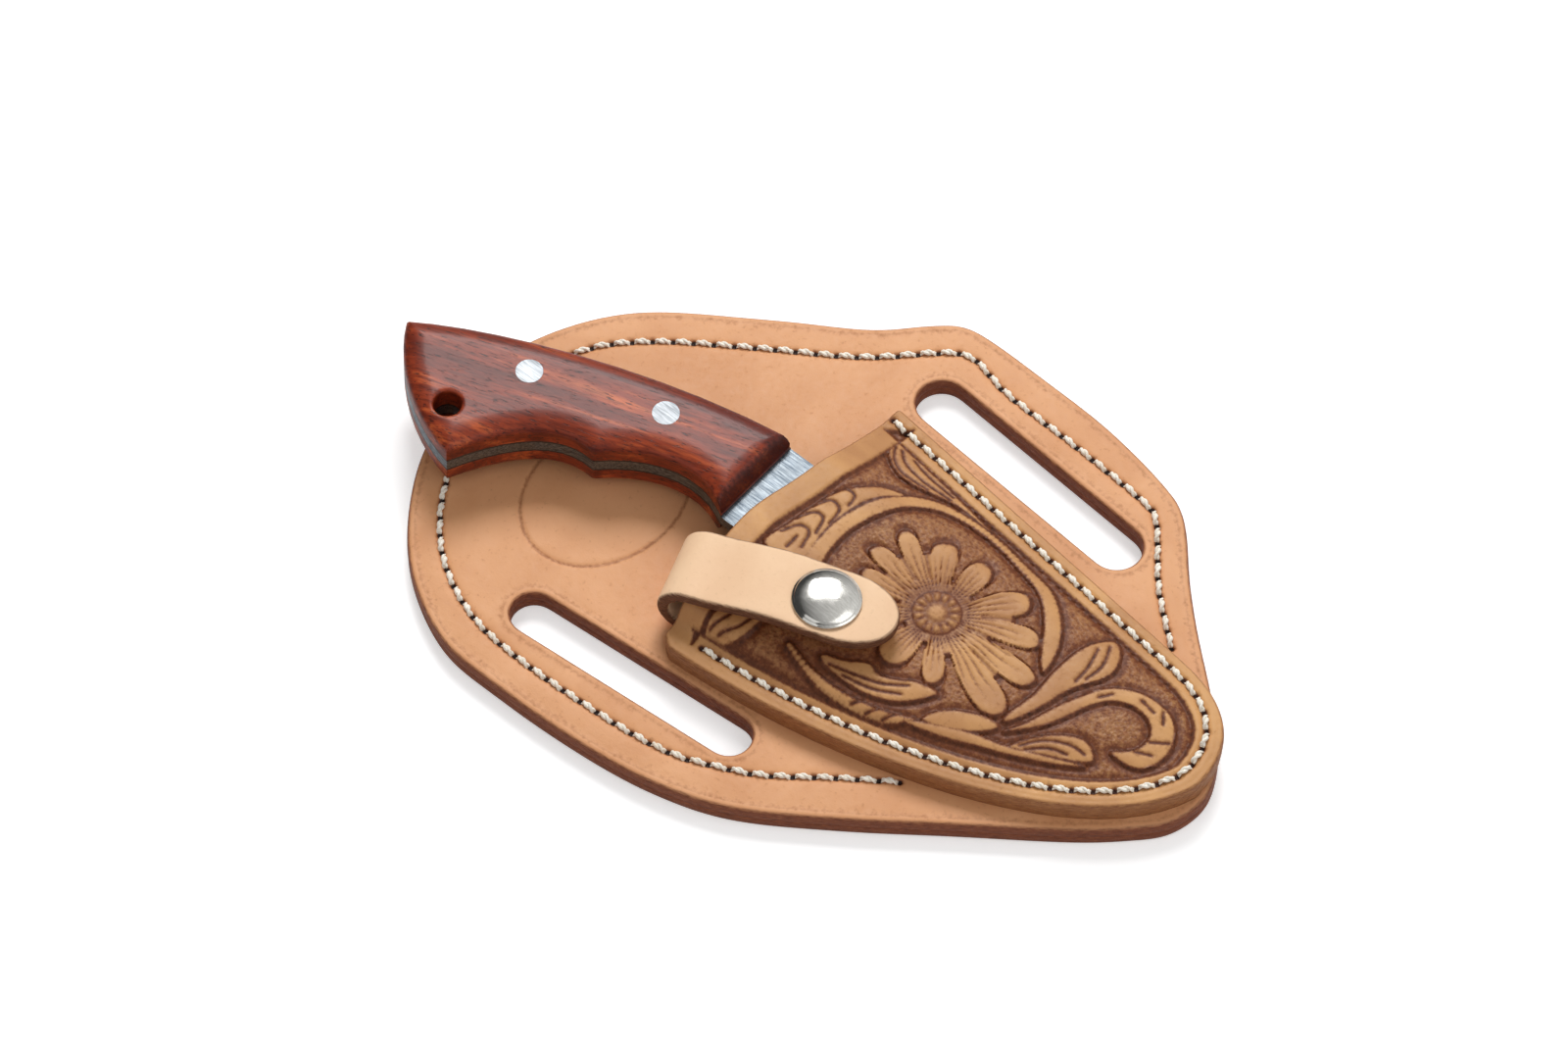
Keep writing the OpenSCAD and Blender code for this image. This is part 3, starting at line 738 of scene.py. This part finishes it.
# Veins and short cuts.
CUTS = [
    [(8.5, 29.5), (10.9, 26.0), (15.2, 23.8), (22.0, 24.2)],
    [(10.5, 29.4), (13.8, 26.7), (19.9, 25.4), (27.7, 25.7)],
    [(14.4, 29.1), (19.5, 27.6), (27.5, 26.8)],
    [(80.4, -15.4), (83.9, -11.0), (88.8, -8.2), (92.6, -7.8)],
    [(81.8, -15.4), (85.8, -11.8), (89.7, -10.4)],
    [(78.2, 15.2), (79.6, 10.1), (79.8, 5.2)],
    [(79.7, 17.7), (81.8, 12.2), (81.2, 7.2)],
    [(35.9, -27.2), (41.8, -25.6), (47.8, -23.5), (52.8, -20.0)],
    [(39.8, -27.4), (46.7, -25.9), (52.6, -22.8)],
    [(9.3, -36.6), (10.9, -32.3), (11.6, -27.5)],
    [(11.7, -36.5), (14.3, -33.1), (15.4, -29.3)],
    [(99.2, 11.8), (101.1, 9.4)], [(101.6, 4.0), (104.9, 6.6)], [(100.5, 0.0), (103.9, 1.7)],
    [(93.9, 11.0), (97.8, 10.3)], [(86.1, 5.3), (88.0, 7.9)], [(9.4, -6.8), (9.4, -10.3)],
    [(8.0, 7.2), (9.6, 10.2), (12.3, 10.1), (12.9, 7.3)],
    [(6.9, 1.7), (9.0, 5.6), (12.0, 5.1), (12.7, 0.8)],
    [(6.2, -3.1), (8.2, 0.7), (10.8, 0.8), (12.0, -3.2)],
    [(5.9, -7.9), (8.0, -4.0), (10.8, -4.1), (12.0, -8.2)],
    [(45.4, -31.3), (47.1, -29.3)], [(49.3, -30.9), (51.0, -28.6)],
    [(53.2, -29.8), (54.7, -27.3)],
]
# Tips and notches of the flower's lobes: angle in degrees and reach from its centre.
LOBES = [(89, 17.3), (66, 8.5), (50.7, 21.3), (34.5, 17.0), (20.9, 23.9), (10.5, 13.0),
         (0.6, 27.5), (-11.2, 20.5), (-22.2, 29.2), (-39, 11.0), (-55.5, 18.6), (-69, 8.0),
         (-92.6, 17.5), (-118, 7.4), (-139.6, 18.0), (-157, 8.6), (-172, 19.5), (-181, 15.0),
         (-188, 21.7), (-201.3, 16.2), (-211.2, 22.2), (-221.5, 15.4), (-241.6, 18.4),
         (-254, 8.4)]


def flower_reach(angle):
    """Reach of the flower's outline at each angle: rounded lobes and sharp notches."""
    a = [l[0] for l in LOBES] + [LOBES[0][0] - 360]
    r = [l[1] for l in LOBES] + [LOBES[0][1]]
    out = np.zeros(len(angle))
    turn = (angle - a[0]) % -360 + a[0]
    for i in range(len(LOBES)):
        pick = (turn <= a[i]) & (turn >= a[i + 1])
        t = (a[i] - turn[pick]) / (a[i] - a[i + 1])
        if i % 2:
            t = 1 - t
        rise = np.clip(1 - (t / 0.78) ** 2.3, 0, 1) ** 0.5
        tip, notch = (r[i + 1], r[i]) if i % 2 else (r[i], r[i + 1])
        out[pick] = notch + (tip - notch) * rise
    return out


def tooling(p):
    """Depth cut into the leather, how dark the finish lies there, and where it is matted."""
    outline = pocket_outline()
    border = beside(even(outline, 1.5, True), -BORDER if area(outline) < 0 else BORDER)
    inner = within(p, border)
    to_border = distance(p, border, True)
    raised = np.full(len(p), -99.0)
    for knots in RAISED.values():
        loop = spline(knots, 5, True)
        near = (p > loop.min(0) - 4).all(1) & (p < loop.max(0) + 4).all(1)
        q = p[near]
        d = distance(q, loop, True) * np.where(within(q, loop), 1, -1)
        raised[near] = np.maximum(raised[near], d)
    for stem in STEMS:
        path = spline(stem, 6)
        d = np.full(len(p), -99.0)
        for x, y, w in path:
            d = np.maximum(d, w - np.hypot(p[:, 0] - x, p[:, 1] - y))
        raised = np.maximum(raised, d)
    v = p - np.array(FLOWER)
    r = np.hypot(v[:, 0], v[:, 1])
    angle = np.degrees(np.arctan2(v[:, 1], v[:, 0]))
    reach = flower_reach(angle)
    petal = (reach - r) * 0.8
    raised = np.maximum(raised, petal)
    flower = petal > 0
    depth = np.zeros(len(p))
    dark = np.zeros(len(p))
    matted = np.zeros(len(p))
    ground = inner & (raised < 0)
    # The ground is pressed down, deepest beside what stands up; it is dark with its finish, and
    # painted shade darkens it more beside what stands up.
    g = -raised[ground]
    edge_in = to_border[ground]
    fall = np.clip(g / 0.5, 0, 1) * np.clip(edge_in / 0.6, 0, 1)
    near_up = np.exp(-(np.minimum(g, edge_in * 1.2) / 1.6) ** 2)
    depth[ground] = fall * (0.5 + 0.4 * near_up)
    dark[ground] = 0.6 + 0.3 * near_up
    matted[ground] = np.clip((np.minimum(g, edge_in) - 1.2) / 1.0, 0, 1)
    # What stands up is rounded at its outline, with painted shade along the outline that fades
    # inwards, over the dark finish in the cut.
    up = inner & (raised >= 0)
    depth[up] = 0.22 * np.exp(-raised[up] / 0.7)
    dark[up] = 0.75 * fade(raised[up], 0.35) + 0.2 * np.exp(-raised[up] / 1.2)
    # The border's cut line, dark with finish and painted shade.
    line = fade(to_border, 0.4)
    depth = np.maximum(depth, 0.4 * line)
    dark = np.maximum(dark, 0.8 * line)
    # Petals: dished towards the middle, with fine cuts that run out from it, and painted shade
    # that darkens them towards the middle.
    dish = flower & (r > 5)
    t = r[dish] / reach[dish]
    depth[dish] += 0.5 * fade(r[dish] - 5, 4.5) + 0.25 * (1 - t) * np.clip(t * 2, 0, 1)
    rays = 0.5 + 0.5 * np.cos(np.radians(angle[dish]) * 58 + 0.6 * np.sin(r[dish] * 0.4))
    strength = np.clip(1 - (t - 0.62) / 0.3, 0, 1) * np.clip((r[dish] - 5.5) / 2, 0, 1)
    depth[dish] += 0.24 * rays ** 3 * strength
    dark[dish] = np.maximum(dark[dish], 0.62 * rays ** 3 * strength
                            + 0.6 * fade(r[dish] - 5.3, 3.4))
    # Cuts between the petals reach in from every second notch, darkened with finish and painted
    # shade.
    for a, reach_in in LOBES[1::2]:
        if reach_in < 13:
            continue
        way = np.array([math.cos(math.radians(a)), math.sin(math.radians(a))])
        d = distance(p, np.array([way * (reach_in * 0.6), way * reach_in]) + FLOWER)
        depth += 0.3 * fade(d, 0.5)
        dark = np.maximum(dark, 0.6 * fade(d, 0.5))
    # The middle: a ring of beads round a smooth boss, with painted shade between the beads and
    # round the rim.
    disc = r < 5.6
    beads = 0.5 + 0.5 * np.cos(np.radians(angle) * 14)
    ring = fade(r - 4.1, 1.0)
    depth[disc] = (0.45 - 0.35 * ring * beads - 0.35 * fade(r, 2.2, 4))[disc]
    dark[disc] = (0.72 - 0.5 * ring * beads - 0.6 * fade(r, 2.0, 4))[disc]
    rim = fade(r - 5.6, 0.45)
    depth = np.maximum(depth, 0.6 * rim)
    dark = np.maximum(dark, 0.9 * rim)
    # Veins and short cuts, darkened with finish and a wider band of painted shade.
    for knots in CUTS:
        path = spline(knots, 5)
        near = (p > path.min(0) - 3).all(1) & (p < path.max(0) + 3).all(1)
        d = distance(p[near], path)
        depth[near] += 0.3 * fade(d, 0.45)
        dark[near] = np.maximum(dark[near], 0.75 * fade(d, 0.42)
                                + 0.25 * fade(d, 1.2))
    return depth, np.clip(dark, 0, 1), matted


def crown(points):
    """Height of the pocket's upper side over the blade, from the CAD node, evened out."""
    bm = cad_copy("pocket_front")
    tree = BVHTree.FromBMesh(bm)
    xs, ys = np.arange(-12, 126, 1.0), np.arange(-52, 46, 1.0)
    z = np.full((len(xs), len(ys)), RIM_Z + LEATHER)
    for i, x in enumerate(xs):
        for j, y in enumerate(ys):
            hit = tree.ray_cast(Vector((x, y, 60)) * MM, Vector((0, 0, -1)))[0]
            if hit and hit.z / MM > RIM_Z + LEATHER:
                z[i, j] = hit.z / MM
    bm.free()
    # Beyond the mouth the height runs on, so the mouth's edge isn't pulled down.
    for j in range(len(ys)):
        full = np.nonzero(z[:, j] > RIM_Z + LEATHER + 0.01)[0]
        if len(full) and full[0] < 24:
            z[:full[0], j] = z[full[0], j]
    for _ in range(5):
        pad = np.pad(z, 1, mode="edge")
        z = (pad[:-2, 1:-1] + pad[2:, 1:-1] + pad[1:-1, :-2] + pad[1:-1, 2:] + 4 * z) / 8
    fx = np.clip(points[:, 0] - xs[0], 0, len(xs) - 1.001)
    fy = np.clip(points[:, 1] - ys[0], 0, len(ys) - 1.001)
    i, j = fx.astype(int), fy.astype(int)
    u, v = fx - i, fy - j
    return (z[i, j] * (1 - u) * (1 - v) + z[i + 1, j] * u * (1 - v)
            + z[i, j + 1] * (1 - u) * v + z[i + 1, j + 1] * u * v)


def make_pocket(mats):
    """The tooled front of the pocket and the welt under it."""
    step = 0.42
    outline = even(pocket_outline(), 0.6, True)
    outline = [soften(outline, 2)]
    rows = middle_lines("pocket_thread", 5, 20)
    dots = stitch_dots("pocket_thread", 5, 20)
    insets = (0, 0.1, 0.3, 0.6, 1.0)
    top = sheet(outline, insets, step)
    low = sheet(outline, (0, 1.0), 2.0)
    p = top["pts"]
    depth, dark, matted = tooling(p)
    seam = seam_distance(p, rows)
    hole = near_dots(p, dots)
    far = top["far"]
    z = crown(p) - round_over(far, 1.0, 0.9) - depth
    z -= 0.45 * fade(seam, 0.95) + 0.7 * fade(hole, 0.62)
    z -= 0.12 * fade(far - 1.3, 0.3)
    # Painted shade in the seam's groove and the stitch holes, together with the darker finish that
    # collects there.
    dark = np.maximum(dark, 0.35 * fade(seam, 0.9) + 1.5 * fade(hole, 0.66))
    zl = crown(low["pts"]) - LEATHER
    obj = solid("pocket", top, low, z, zl, (0.3, 0.65), (0.1, 0.1),
                {"antique_and_shade": dark, "matted": matted})
    finish_piece(obj, "sheath", "pocket_leather", mats["pocket"], "pocket_front")
    loops = flat_loops("pocket_welt", BACKER_TOP)
    ring = [soften(even(loops[0], 0.8, True), 1)]
    a = sheet(ring, (0, 0.3), 2.5)
    welt = solid("welt", a, a, np.full(len(a["pts"]), RIM_Z), np.full(len(a["pts"]), BACKER_TOP),
                 (0.3, 0.7), (0.05, 0.05))
    finish_piece(welt, "sheath", "pocket_leather", mats["pocket"], "pocket_welt")


def make_threads(mats):
    """Two-ply stitches: each dips into the leather at its ends."""
    for node_name, name in (("backer_thread", "backer_stitches"),
                            ("pocket_thread", "pocket_stitches")):
        bm = bmesh.new()
        for mid, half, z in islands(node_name):
            length = float(np.linalg.norm(half)) * 2 + 0.1
            up = 1 if z > 3 else -1
            turn = math.atan2(half[1], half[0]) - 0.14
            centre = Vector((mid[0], mid[1], z + (0.7 if up > 0 else 0.62)))
            for ply in (0, math.pi):
                rows = []
                for i in range(8):
                    t = i / 7
                    twist = ply + t * 2 * math.pi * 0.95 + 0.6
                    dip = 0.75 * abs(2 * t - 1) ** 3.2
                    r = 0.46 * (1 - 0.35 * abs(2 * t - 1) ** 4)
                    off = 0.33
                    x = (t - 0.5) * length
                    row = []
                    for k in range(6):
                        a = k * math.pi / 3
                        y = off * math.cos(twist) + r * math.cos(a)
                        h = off * math.sin(twist) * 0.8 + r * math.sin(a) - dip
                        q = Vector((x, y, up * h))
                        q.rotate(Matrix.Rotation(turn, 3, "Z"))
                        row.append(bm.verts.new((centre + q) * MM))
                    rows.append(row)
                for a, b in zip(rows, rows[1:]):
                    for k in range(6):
                        bm.faces.new((a[k], a[(k + 1) % 6], b[(k + 1) % 6], b[k]))
                bm.faces.new(rows[0][::-1])
                bm.faces.new(rows[-1])
        bmesh.ops.recalc_face_normals(bm, faces=bm.faces)
        me = bpy.data.meshes.new(name)
        bm.to_mesh(me)
        bm.free()
        me.shade_smooth()
        obj = piece(name, me)
        finish_piece(obj, "sheath", "thread", mats["thread"], node_name)


def strap_line():
    """The strap's inner side from the glued tail round the fold to the end: x and height."""
    tail_z, t = BACKER_TOP + 0.05, 2.8
    fold_x = -29.3
    fold_top = SNAP_Z - STRAP_FALL * fold_x + 0.4
    fold_in = (fold_top - tail_z - t) / 2
    mid = tail_z + t + fold_in
    arc = [(fold_x + fold_in * math.cos(a), mid + fold_in * math.sin(a))
           for a in np.radians(np.linspace(270, 90, 25))]
    end = (-8.5, SNAP_Z + 3.6 + 8.5 * STRAP_FALL)
    a, b = np.array([fold_x, mid + fold_in]), np.array(end)
    u = np.linspace(0, 1, 13)[1:, None]
    c1, c2 = a + [7, 0], b - [7, -7 * STRAP_FALL]
    lift = (a * (1 - u) ** 3 + c1 * 3 * (1 - u) ** 2 * u + c2 * 3 * (1 - u) * u * u + b * u ** 3)
    tip = b + 25.5 * np.array([1, -STRAP_FALL])
    line = np.vstack([[(fold_x + 36, mid - fold_in)], arc, lift, [tip]])
    return even(line, 0.6), mid, fold_in, fold_x


def make_strap(mats):
    """The strap, from its glued tail round the fold to its rounded end."""
    line, mid, fold_in, fold_x = strap_line()
    run = np.concatenate([[0], np.cumsum(np.linalg.norm(np.diff(line, axis=0), axis=1))])
    total = run[-1]
    half, nose = 9.25, 13.0
    a = np.linspace(-math.pi / 2, math.pi / 2, 40)
    plan = np.vstack([[(0, -half + 1), (0.3, -half + 0.3), (1, -half)],
                      np.stack([total - nose + nose * np.cos(a) ** 1.05,
                                half * np.sign(a) * np.abs(np.sin(a)) ** 0.92], 1),
                      [(1, half), (0.3, half - 0.3), (0, half - 1)]])
    outline = [soften(even(plan, 0.6, True), 2)]
    top = sheet(outline, (0, 0.1, 0.3, 0.6, 1.0, 1.5), 1.0)
    way = np.gradient(line, axis=0)
    way /= np.linalg.norm(way, axis=1)[:, None]
    for _ in range(12):
        way[1:-1] = (way[:-2] + 2 * way[1:-1] + way[2:]) / 4
    way /= np.linalg.norm(way, axis=1)[:, None]
    cos, sin = math.cos(STRAP_TURN), math.sin(STRAP_TURN)

    def place(co):
        """Bends the flat strip round the line, its outer side on the left of the line."""
        s = np.clip(co[:, 0], 0, total)
        x, h = np.interp(s, run, line[:, 0]), np.interp(s, run, line[:, 1])
        tx, th = np.interp(s, run, way[:, 0]), np.interp(s, run, way[:, 1])
        along = x + co[:, 2] * -th
        up = h + co[:, 2] * tx
        v = co[:, 1]
        return np.stack([SNAP[0] + along * cos - v * sin, SNAP[1] + along * sin + v * cos, up], 1)

    p = top["pts"]
    far = top["far"]
    outer = 2.8 - round_over(far, 1.1, 0.8)
    outer += 0.12 * np.sin(p[:, 0] * 0.21) * np.clip(far / 5, 0, 1)
    at_snap = np.hypot(p[:, 0] - (total - 17), p[:, 1])
    outer -= 0.25 * fade(at_snap - 6.5, 2.5)
    inner = round_over(far, 0.6, 0.35)
    obj = solid("strap", top, top, outer, inner, (0.25, 0.5, 0.75), (0.08, 0.0, 0.08),
                None, place)
    bm = bmesh.new()
    bm.from_mesh(obj.data)
    bmesh.ops.recalc_face_normals(bm, faces=bm.faces)
    bm.to_mesh(obj.data)
    bm.free()
    obj.data.materials.append(mats["strap"])
    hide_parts("strap_tail", "strap_flap")
    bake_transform(obj)


def in_snap():
    """From the snap's own frame, in millimetres, to the row frame in metres."""
    return (Matrix.Scale(MM, 4) @ Matrix.Translation((SNAP[0], SNAP[1], SNAP_Z))
            @ Matrix.Rotation(STRAP_TURN, 4, "Z")
            @ Matrix.Rotation(math.atan(STRAP_FALL), 4, "Y"))


def make_snap(mats):
    """The cap: a polished dome with a fine turned rim, over its post."""
    r, base, high = 7.9, 6.35, 2.45
    profile = [(0.0, base - 2.6), (1.45, base - 2.6), (1.45, base), (r - 0.5, base),
               (r - 0.1, base + 0.1), (r, base + 0.35), (r - 0.12, base + 0.6),
               (r - 0.45, base + 0.68)]
    for i in range(1, 11):
        t = 1 - i / 10
        profile.append(((r - 0.5) * math.sin(t * math.pi / 2),
                        base + 0.68 + (high - 0.68) * math.cos(t * math.pi / 2) ** 1.15))
    bm = bmesh.new()
    verts = [bm.verts.new((x, 0, z)) for x, z in profile]
    edges = [bm.edges.new(pair) for pair in zip(verts, verts[1:])]
    bmesh.ops.spin(bm, geom=verts + edges, cent=(0, 0, 0), axis=(0, 0, 1),
                   angle=2 * math.pi, steps=72, use_merge=True)
    bmesh.ops.remove_doubles(bm, verts=bm.verts, dist=0.001)
    bmesh.ops.recalc_face_normals(bm, faces=bm.faces)
    bmesh.ops.transform(bm, matrix=in_snap(), verts=bm.verts)
    me = bpy.data.meshes.new("snap_dome")
    bm.to_mesh(me)
    bm.free()
    me.shade_smooth()
    me.set_sharp_from_angle(angle=math.radians(60))
    finish_piece(piece("snap_dome", me), "strap", "snap_metal", mats["snap"], "snap_cap")
    for name in ("snap_socket", "snap_stud", "snap_post"):
        paint(name, mats["snap"])
    paint("snap_spring", mats["spring"])


def paint(node_name, mat):
    """A CAD node keeps its shape and gets this finish."""
    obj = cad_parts[node_name]
    if not obj.material_slots:
        obj.data.materials.append(mat)
    for slot in obj.material_slots:
        slot.material = mat


# ---------- knife ----------

def knife_place(co):
    """From the knife's own plane to the row frame."""
    c, s = math.cos(TILT), math.sin(TILT)
    x, y, z = co.T
    return np.stack([x * c + z * s, y, KNIFE_Z - x * s + z * c], 1)


def make_grip(mats):
    """The two scales: rounded over along the sides, cut back at the front."""
    turn = (Matrix.Rotation(-TILT, 4, "Y") @ Matrix.Translation((0, 0, -KNIFE_Z * MM)))
    loops = flat_loops("front_liner", 2.0, turn)
    grip_x = HEEL[0] - NECK
    outline = [even(loops[0], 0.8, True)]
    outline += [even(p, 0.6, True) for p in loops[1:]]
    lanyard = min(loops[1:], key=lambda q: q.mean(0)[1])
    top = sheet(outline, (0, 0.2, 0.5, 0.9, 1.5), 0.9)
    p = top["pts"]
    outer = distance(p, outline[0], True)
    bore = np.hypot(*(p - lanyard.mean(0)).T) - LANYARD_R
    half, low = 7.5, 2.0
    high = half - round_over(outer, 5.5, 2.3) - round_over(bore, 0.8, 0.5)
    high = np.minimum(high, low + 1.0 + np.clip(grip_x - p[:, 0], 0, 99) * FRONT_RISE)
    front = np.clip(1 - (grip_x - p[:, 0] - 2.2) / 0.5, 0, 1)
    for side, name, node_name in ((1, "front_scale_wood", "front_scale"),
                                  (-1, "back_scale_wood", "back_scale")):
        def place(co, side=side):
            co = co.copy()
            co[:, 2] *= side
            return knife_place(co)
        obj = solid(name, top, top, high, np.full(len(p), low), (0.5,), (0.0,),
                    {"end grain": front}, place)
        if side < 0:
            obj.data.flip_normals()
        finish_piece(obj, "knife", "grip_wood", mats["wood"], node_name)
    for name in ("front_liner", "back_liner"):
        paint(name, mats["liner"])
    for name in ("front_pin", "rear_pin"):
        paint(name, mats["pin"])
    paint("blade", mats["steel"])


# ---------- stage ----------

def make_stage():
    """The floor, the world, the lamps and the camera."""
    scene = bpy.context.scene
    me = bpy.data.meshes.new("floor")
    bm = bmesh.new()
    bmesh.ops.create_grid(bm, x_segments=1, y_segments=1, size=3.0)
    bmesh.ops.translate(bm, verts=bm.verts, vec=(0, 0, -0.0001))
    bm.to_mesh(me)
    bm.free()
    floor = piece("floor", me)
    m, t, s = new_material("white floor", 0.9)
    s.inputs["Base Color"].default_value = (0.88, 0.88, 0.88, 1)
    glow = node(t, "ShaderNodeEmission", {"Color": (1, 1, 1, 1)})
    path = t.nodes.new("ShaderNodeLightPath")
    t.links.new(math_node(t, "MULTIPLY", path.outputs["Is Camera Ray"], 0.42),
                glow.inputs["Strength"])
    add = t.nodes.new("ShaderNodeAddShader")
    t.links.new(s.outputs[0], add.inputs[0])
    t.links.new(glow.outputs[0], add.inputs[1])
    out = next(n for n in t.nodes if n.type == "OUTPUT_MATERIAL")
    t.links.new(add.outputs[0], out.inputs["Surface"])
    me.materials.append(m)

    world = bpy.data.worlds.new("studio")
    scene.world = world
    world.use_nodes = True
    t = world.node_tree
    back = next(n for n in t.nodes if n.type == "BACKGROUND")
    back.inputs["Color"].default_value = (1, 1, 1, 1)
    path = t.nodes.new("ShaderNodeLightPath")
    # Shiny parts see a studio that is bright on one side and dimmer on the other.
    way = node(t, "ShaderNodeVectorMath", {0: t.nodes.new("ShaderNodeTexCoord").outputs[
        "Generated"], 1: (0.6, 0.45, 0.55)}, operation="DOT_PRODUCT")
    mirrored = remap(t, way.outputs["Value"], 0.0, 0.95, 0.06, 1.0)
    strength = remap(t, path.outputs["Is Camera Ray"], 0, 1, 0.36, 1.0)
    shiny = math_node(t, "MULTIPLY", path.outputs["Is Glossy Ray"], math_node(
        t, "SUBTRACT", mirrored, strength))
    t.links.new(math_node(t, "ADD", strength, shiny), back.inputs["Strength"])

    for name, place, size, power in (
            ("key", (-0.55, 0.75, 1.15), 0.6, 16.0),
            ("fill", (0.9, 0.2, 1.0), 1.0, 3.0),
            ("front", (-0.1, -1.1, 1.0), 0.9, 2.0)):
        light = bpy.data.lights.new(name, "AREA")
        light.size = size
        light.energy = power
        lamp = bpy.data.objects.new(name, light)
        lamp.location = place
        lamp.rotation_euler = (-Vector(place)).to_track_quat("-Z", "Y").to_euler()
        scene.collection.objects.link(lamp)

    cam = bpy.data.cameras.new("camera")
    cam.lens = 130.5
    cam.sensor_width = 36
    cam.clip_start = 0.01
    obj = bpy.data.objects.new("camera", cam)
    target = Vector((0, 0, 0.006))
    obj.location = (0.463, -0.552, 1.075)
    obj.rotation_euler = (target - obj.location).to_track_quat("-Z", "Y").to_euler()
    scene.collection.objects.link(obj)
    scene.camera = obj
    scene.view_settings.view_transform = "Standard"


# ---------- add-on ----------

class SheathSettings(bpy.types.PropertyGroup):
    """Colours that the leathers are dyed to."""
    backer_colour: bpy.props.FloatVectorProperty(
        name="Backer", description="Colour of the backer's grain side", subtype="COLOR",
        size=3, min=0, max=1, default=rgb(222, 164, 118)[:3])
    pocket_colour: bpy.props.FloatVectorProperty(
        name="Pocket", description="Colour of the tooled leather where it stands up",
        subtype="COLOR", size=3, min=0, max=1, default=rgb(208, 156, 100)[:3])
    strap_colour: bpy.props.FloatVectorProperty(
        name="Strap", description="Colour of the retaining strap", subtype="COLOR",
        size=3, min=0, max=1, default=rgb(242, 206, 168)[:3])


_finishes = {}


def finishes():
    if not _finishes:
        _finishes.update(make_materials())
    return _finishes


def operator(idname, label, text, work):
    """An operator class that runs one maker."""
    def execute(self, context):
        work()
        return {"FINISHED"}
    return type("KNIFE_OT_" + idname, (bpy.types.Operator,), {
        "__doc__": text, "bl_idname": "knife." + idname, "bl_label": label, "execute": execute})


OPERATORS = (
    operator("backer", "Backer", "Make the stitched backer with its belt slots",
             lambda: make_backer(finishes())),
    operator("pocket", "Pocket", "Make the tooled pocket and its welt",
             lambda: make_pocket(finishes())),
    operator("threads", "Stitches", "Make the two-ply stitches of both seams",
             lambda: make_threads(finishes())),
    operator("strap", "Strap", "Make the folded retaining strap",
             lambda: make_strap(finishes())),
    operator("snap", "Snap", "Make the snap's cap and finish its other parts",
             lambda: make_snap(finishes())),
    operator("grip", "Grip", "Make the wooden scales and finish the knife's metal",
             lambda: make_grip(finishes())),
    operator("stage", "Stage", "Make the floor, the lights and the camera", make_stage),
)


class KNIFE_PT_panel(bpy.types.Panel):
    """Lists the pieces that can be made."""
    bl_idname = "KNIFE_PT_panel"
    bl_label = "Sheathed knife"
    bl_space_type = "VIEW_3D"
    bl_region_type = "UI"
    bl_category = "Knife"

    def draw(self, context):
        sizes = context.scene.knife_sheath
        for name in ("backer_colour", "pocket_colour", "strap_colour"):
            self.layout.prop(sizes, name)
        for cls in OPERATORS:
            self.layout.operator(cls.bl_idname)


CLASSES = (SheathSettings, *OPERATORS, KNIFE_PT_panel)


def register():
    for cls in CLASSES:
        bpy.utils.register_class(cls)
    bpy.types.Scene.knife_sheath = bpy.props.PointerProperty(type=SheathSettings)


def unregister():
    del bpy.types.Scene.knife_sheath
    for cls in reversed(CLASSES):
        bpy.utils.unregister_class(cls)


def main():
    register()
    bpy.ops.knife.stage()
    bpy.ops.knife.backer()
    bpy.ops.knife.pocket()
    bpy.ops.knife.threads()
    bpy.ops.knife.strap()
    bpy.ops.knife.snap()
    bpy.ops.knife.grip()
    bpy.context.view_layer.update()


if __name__ == "__main__":
    main()
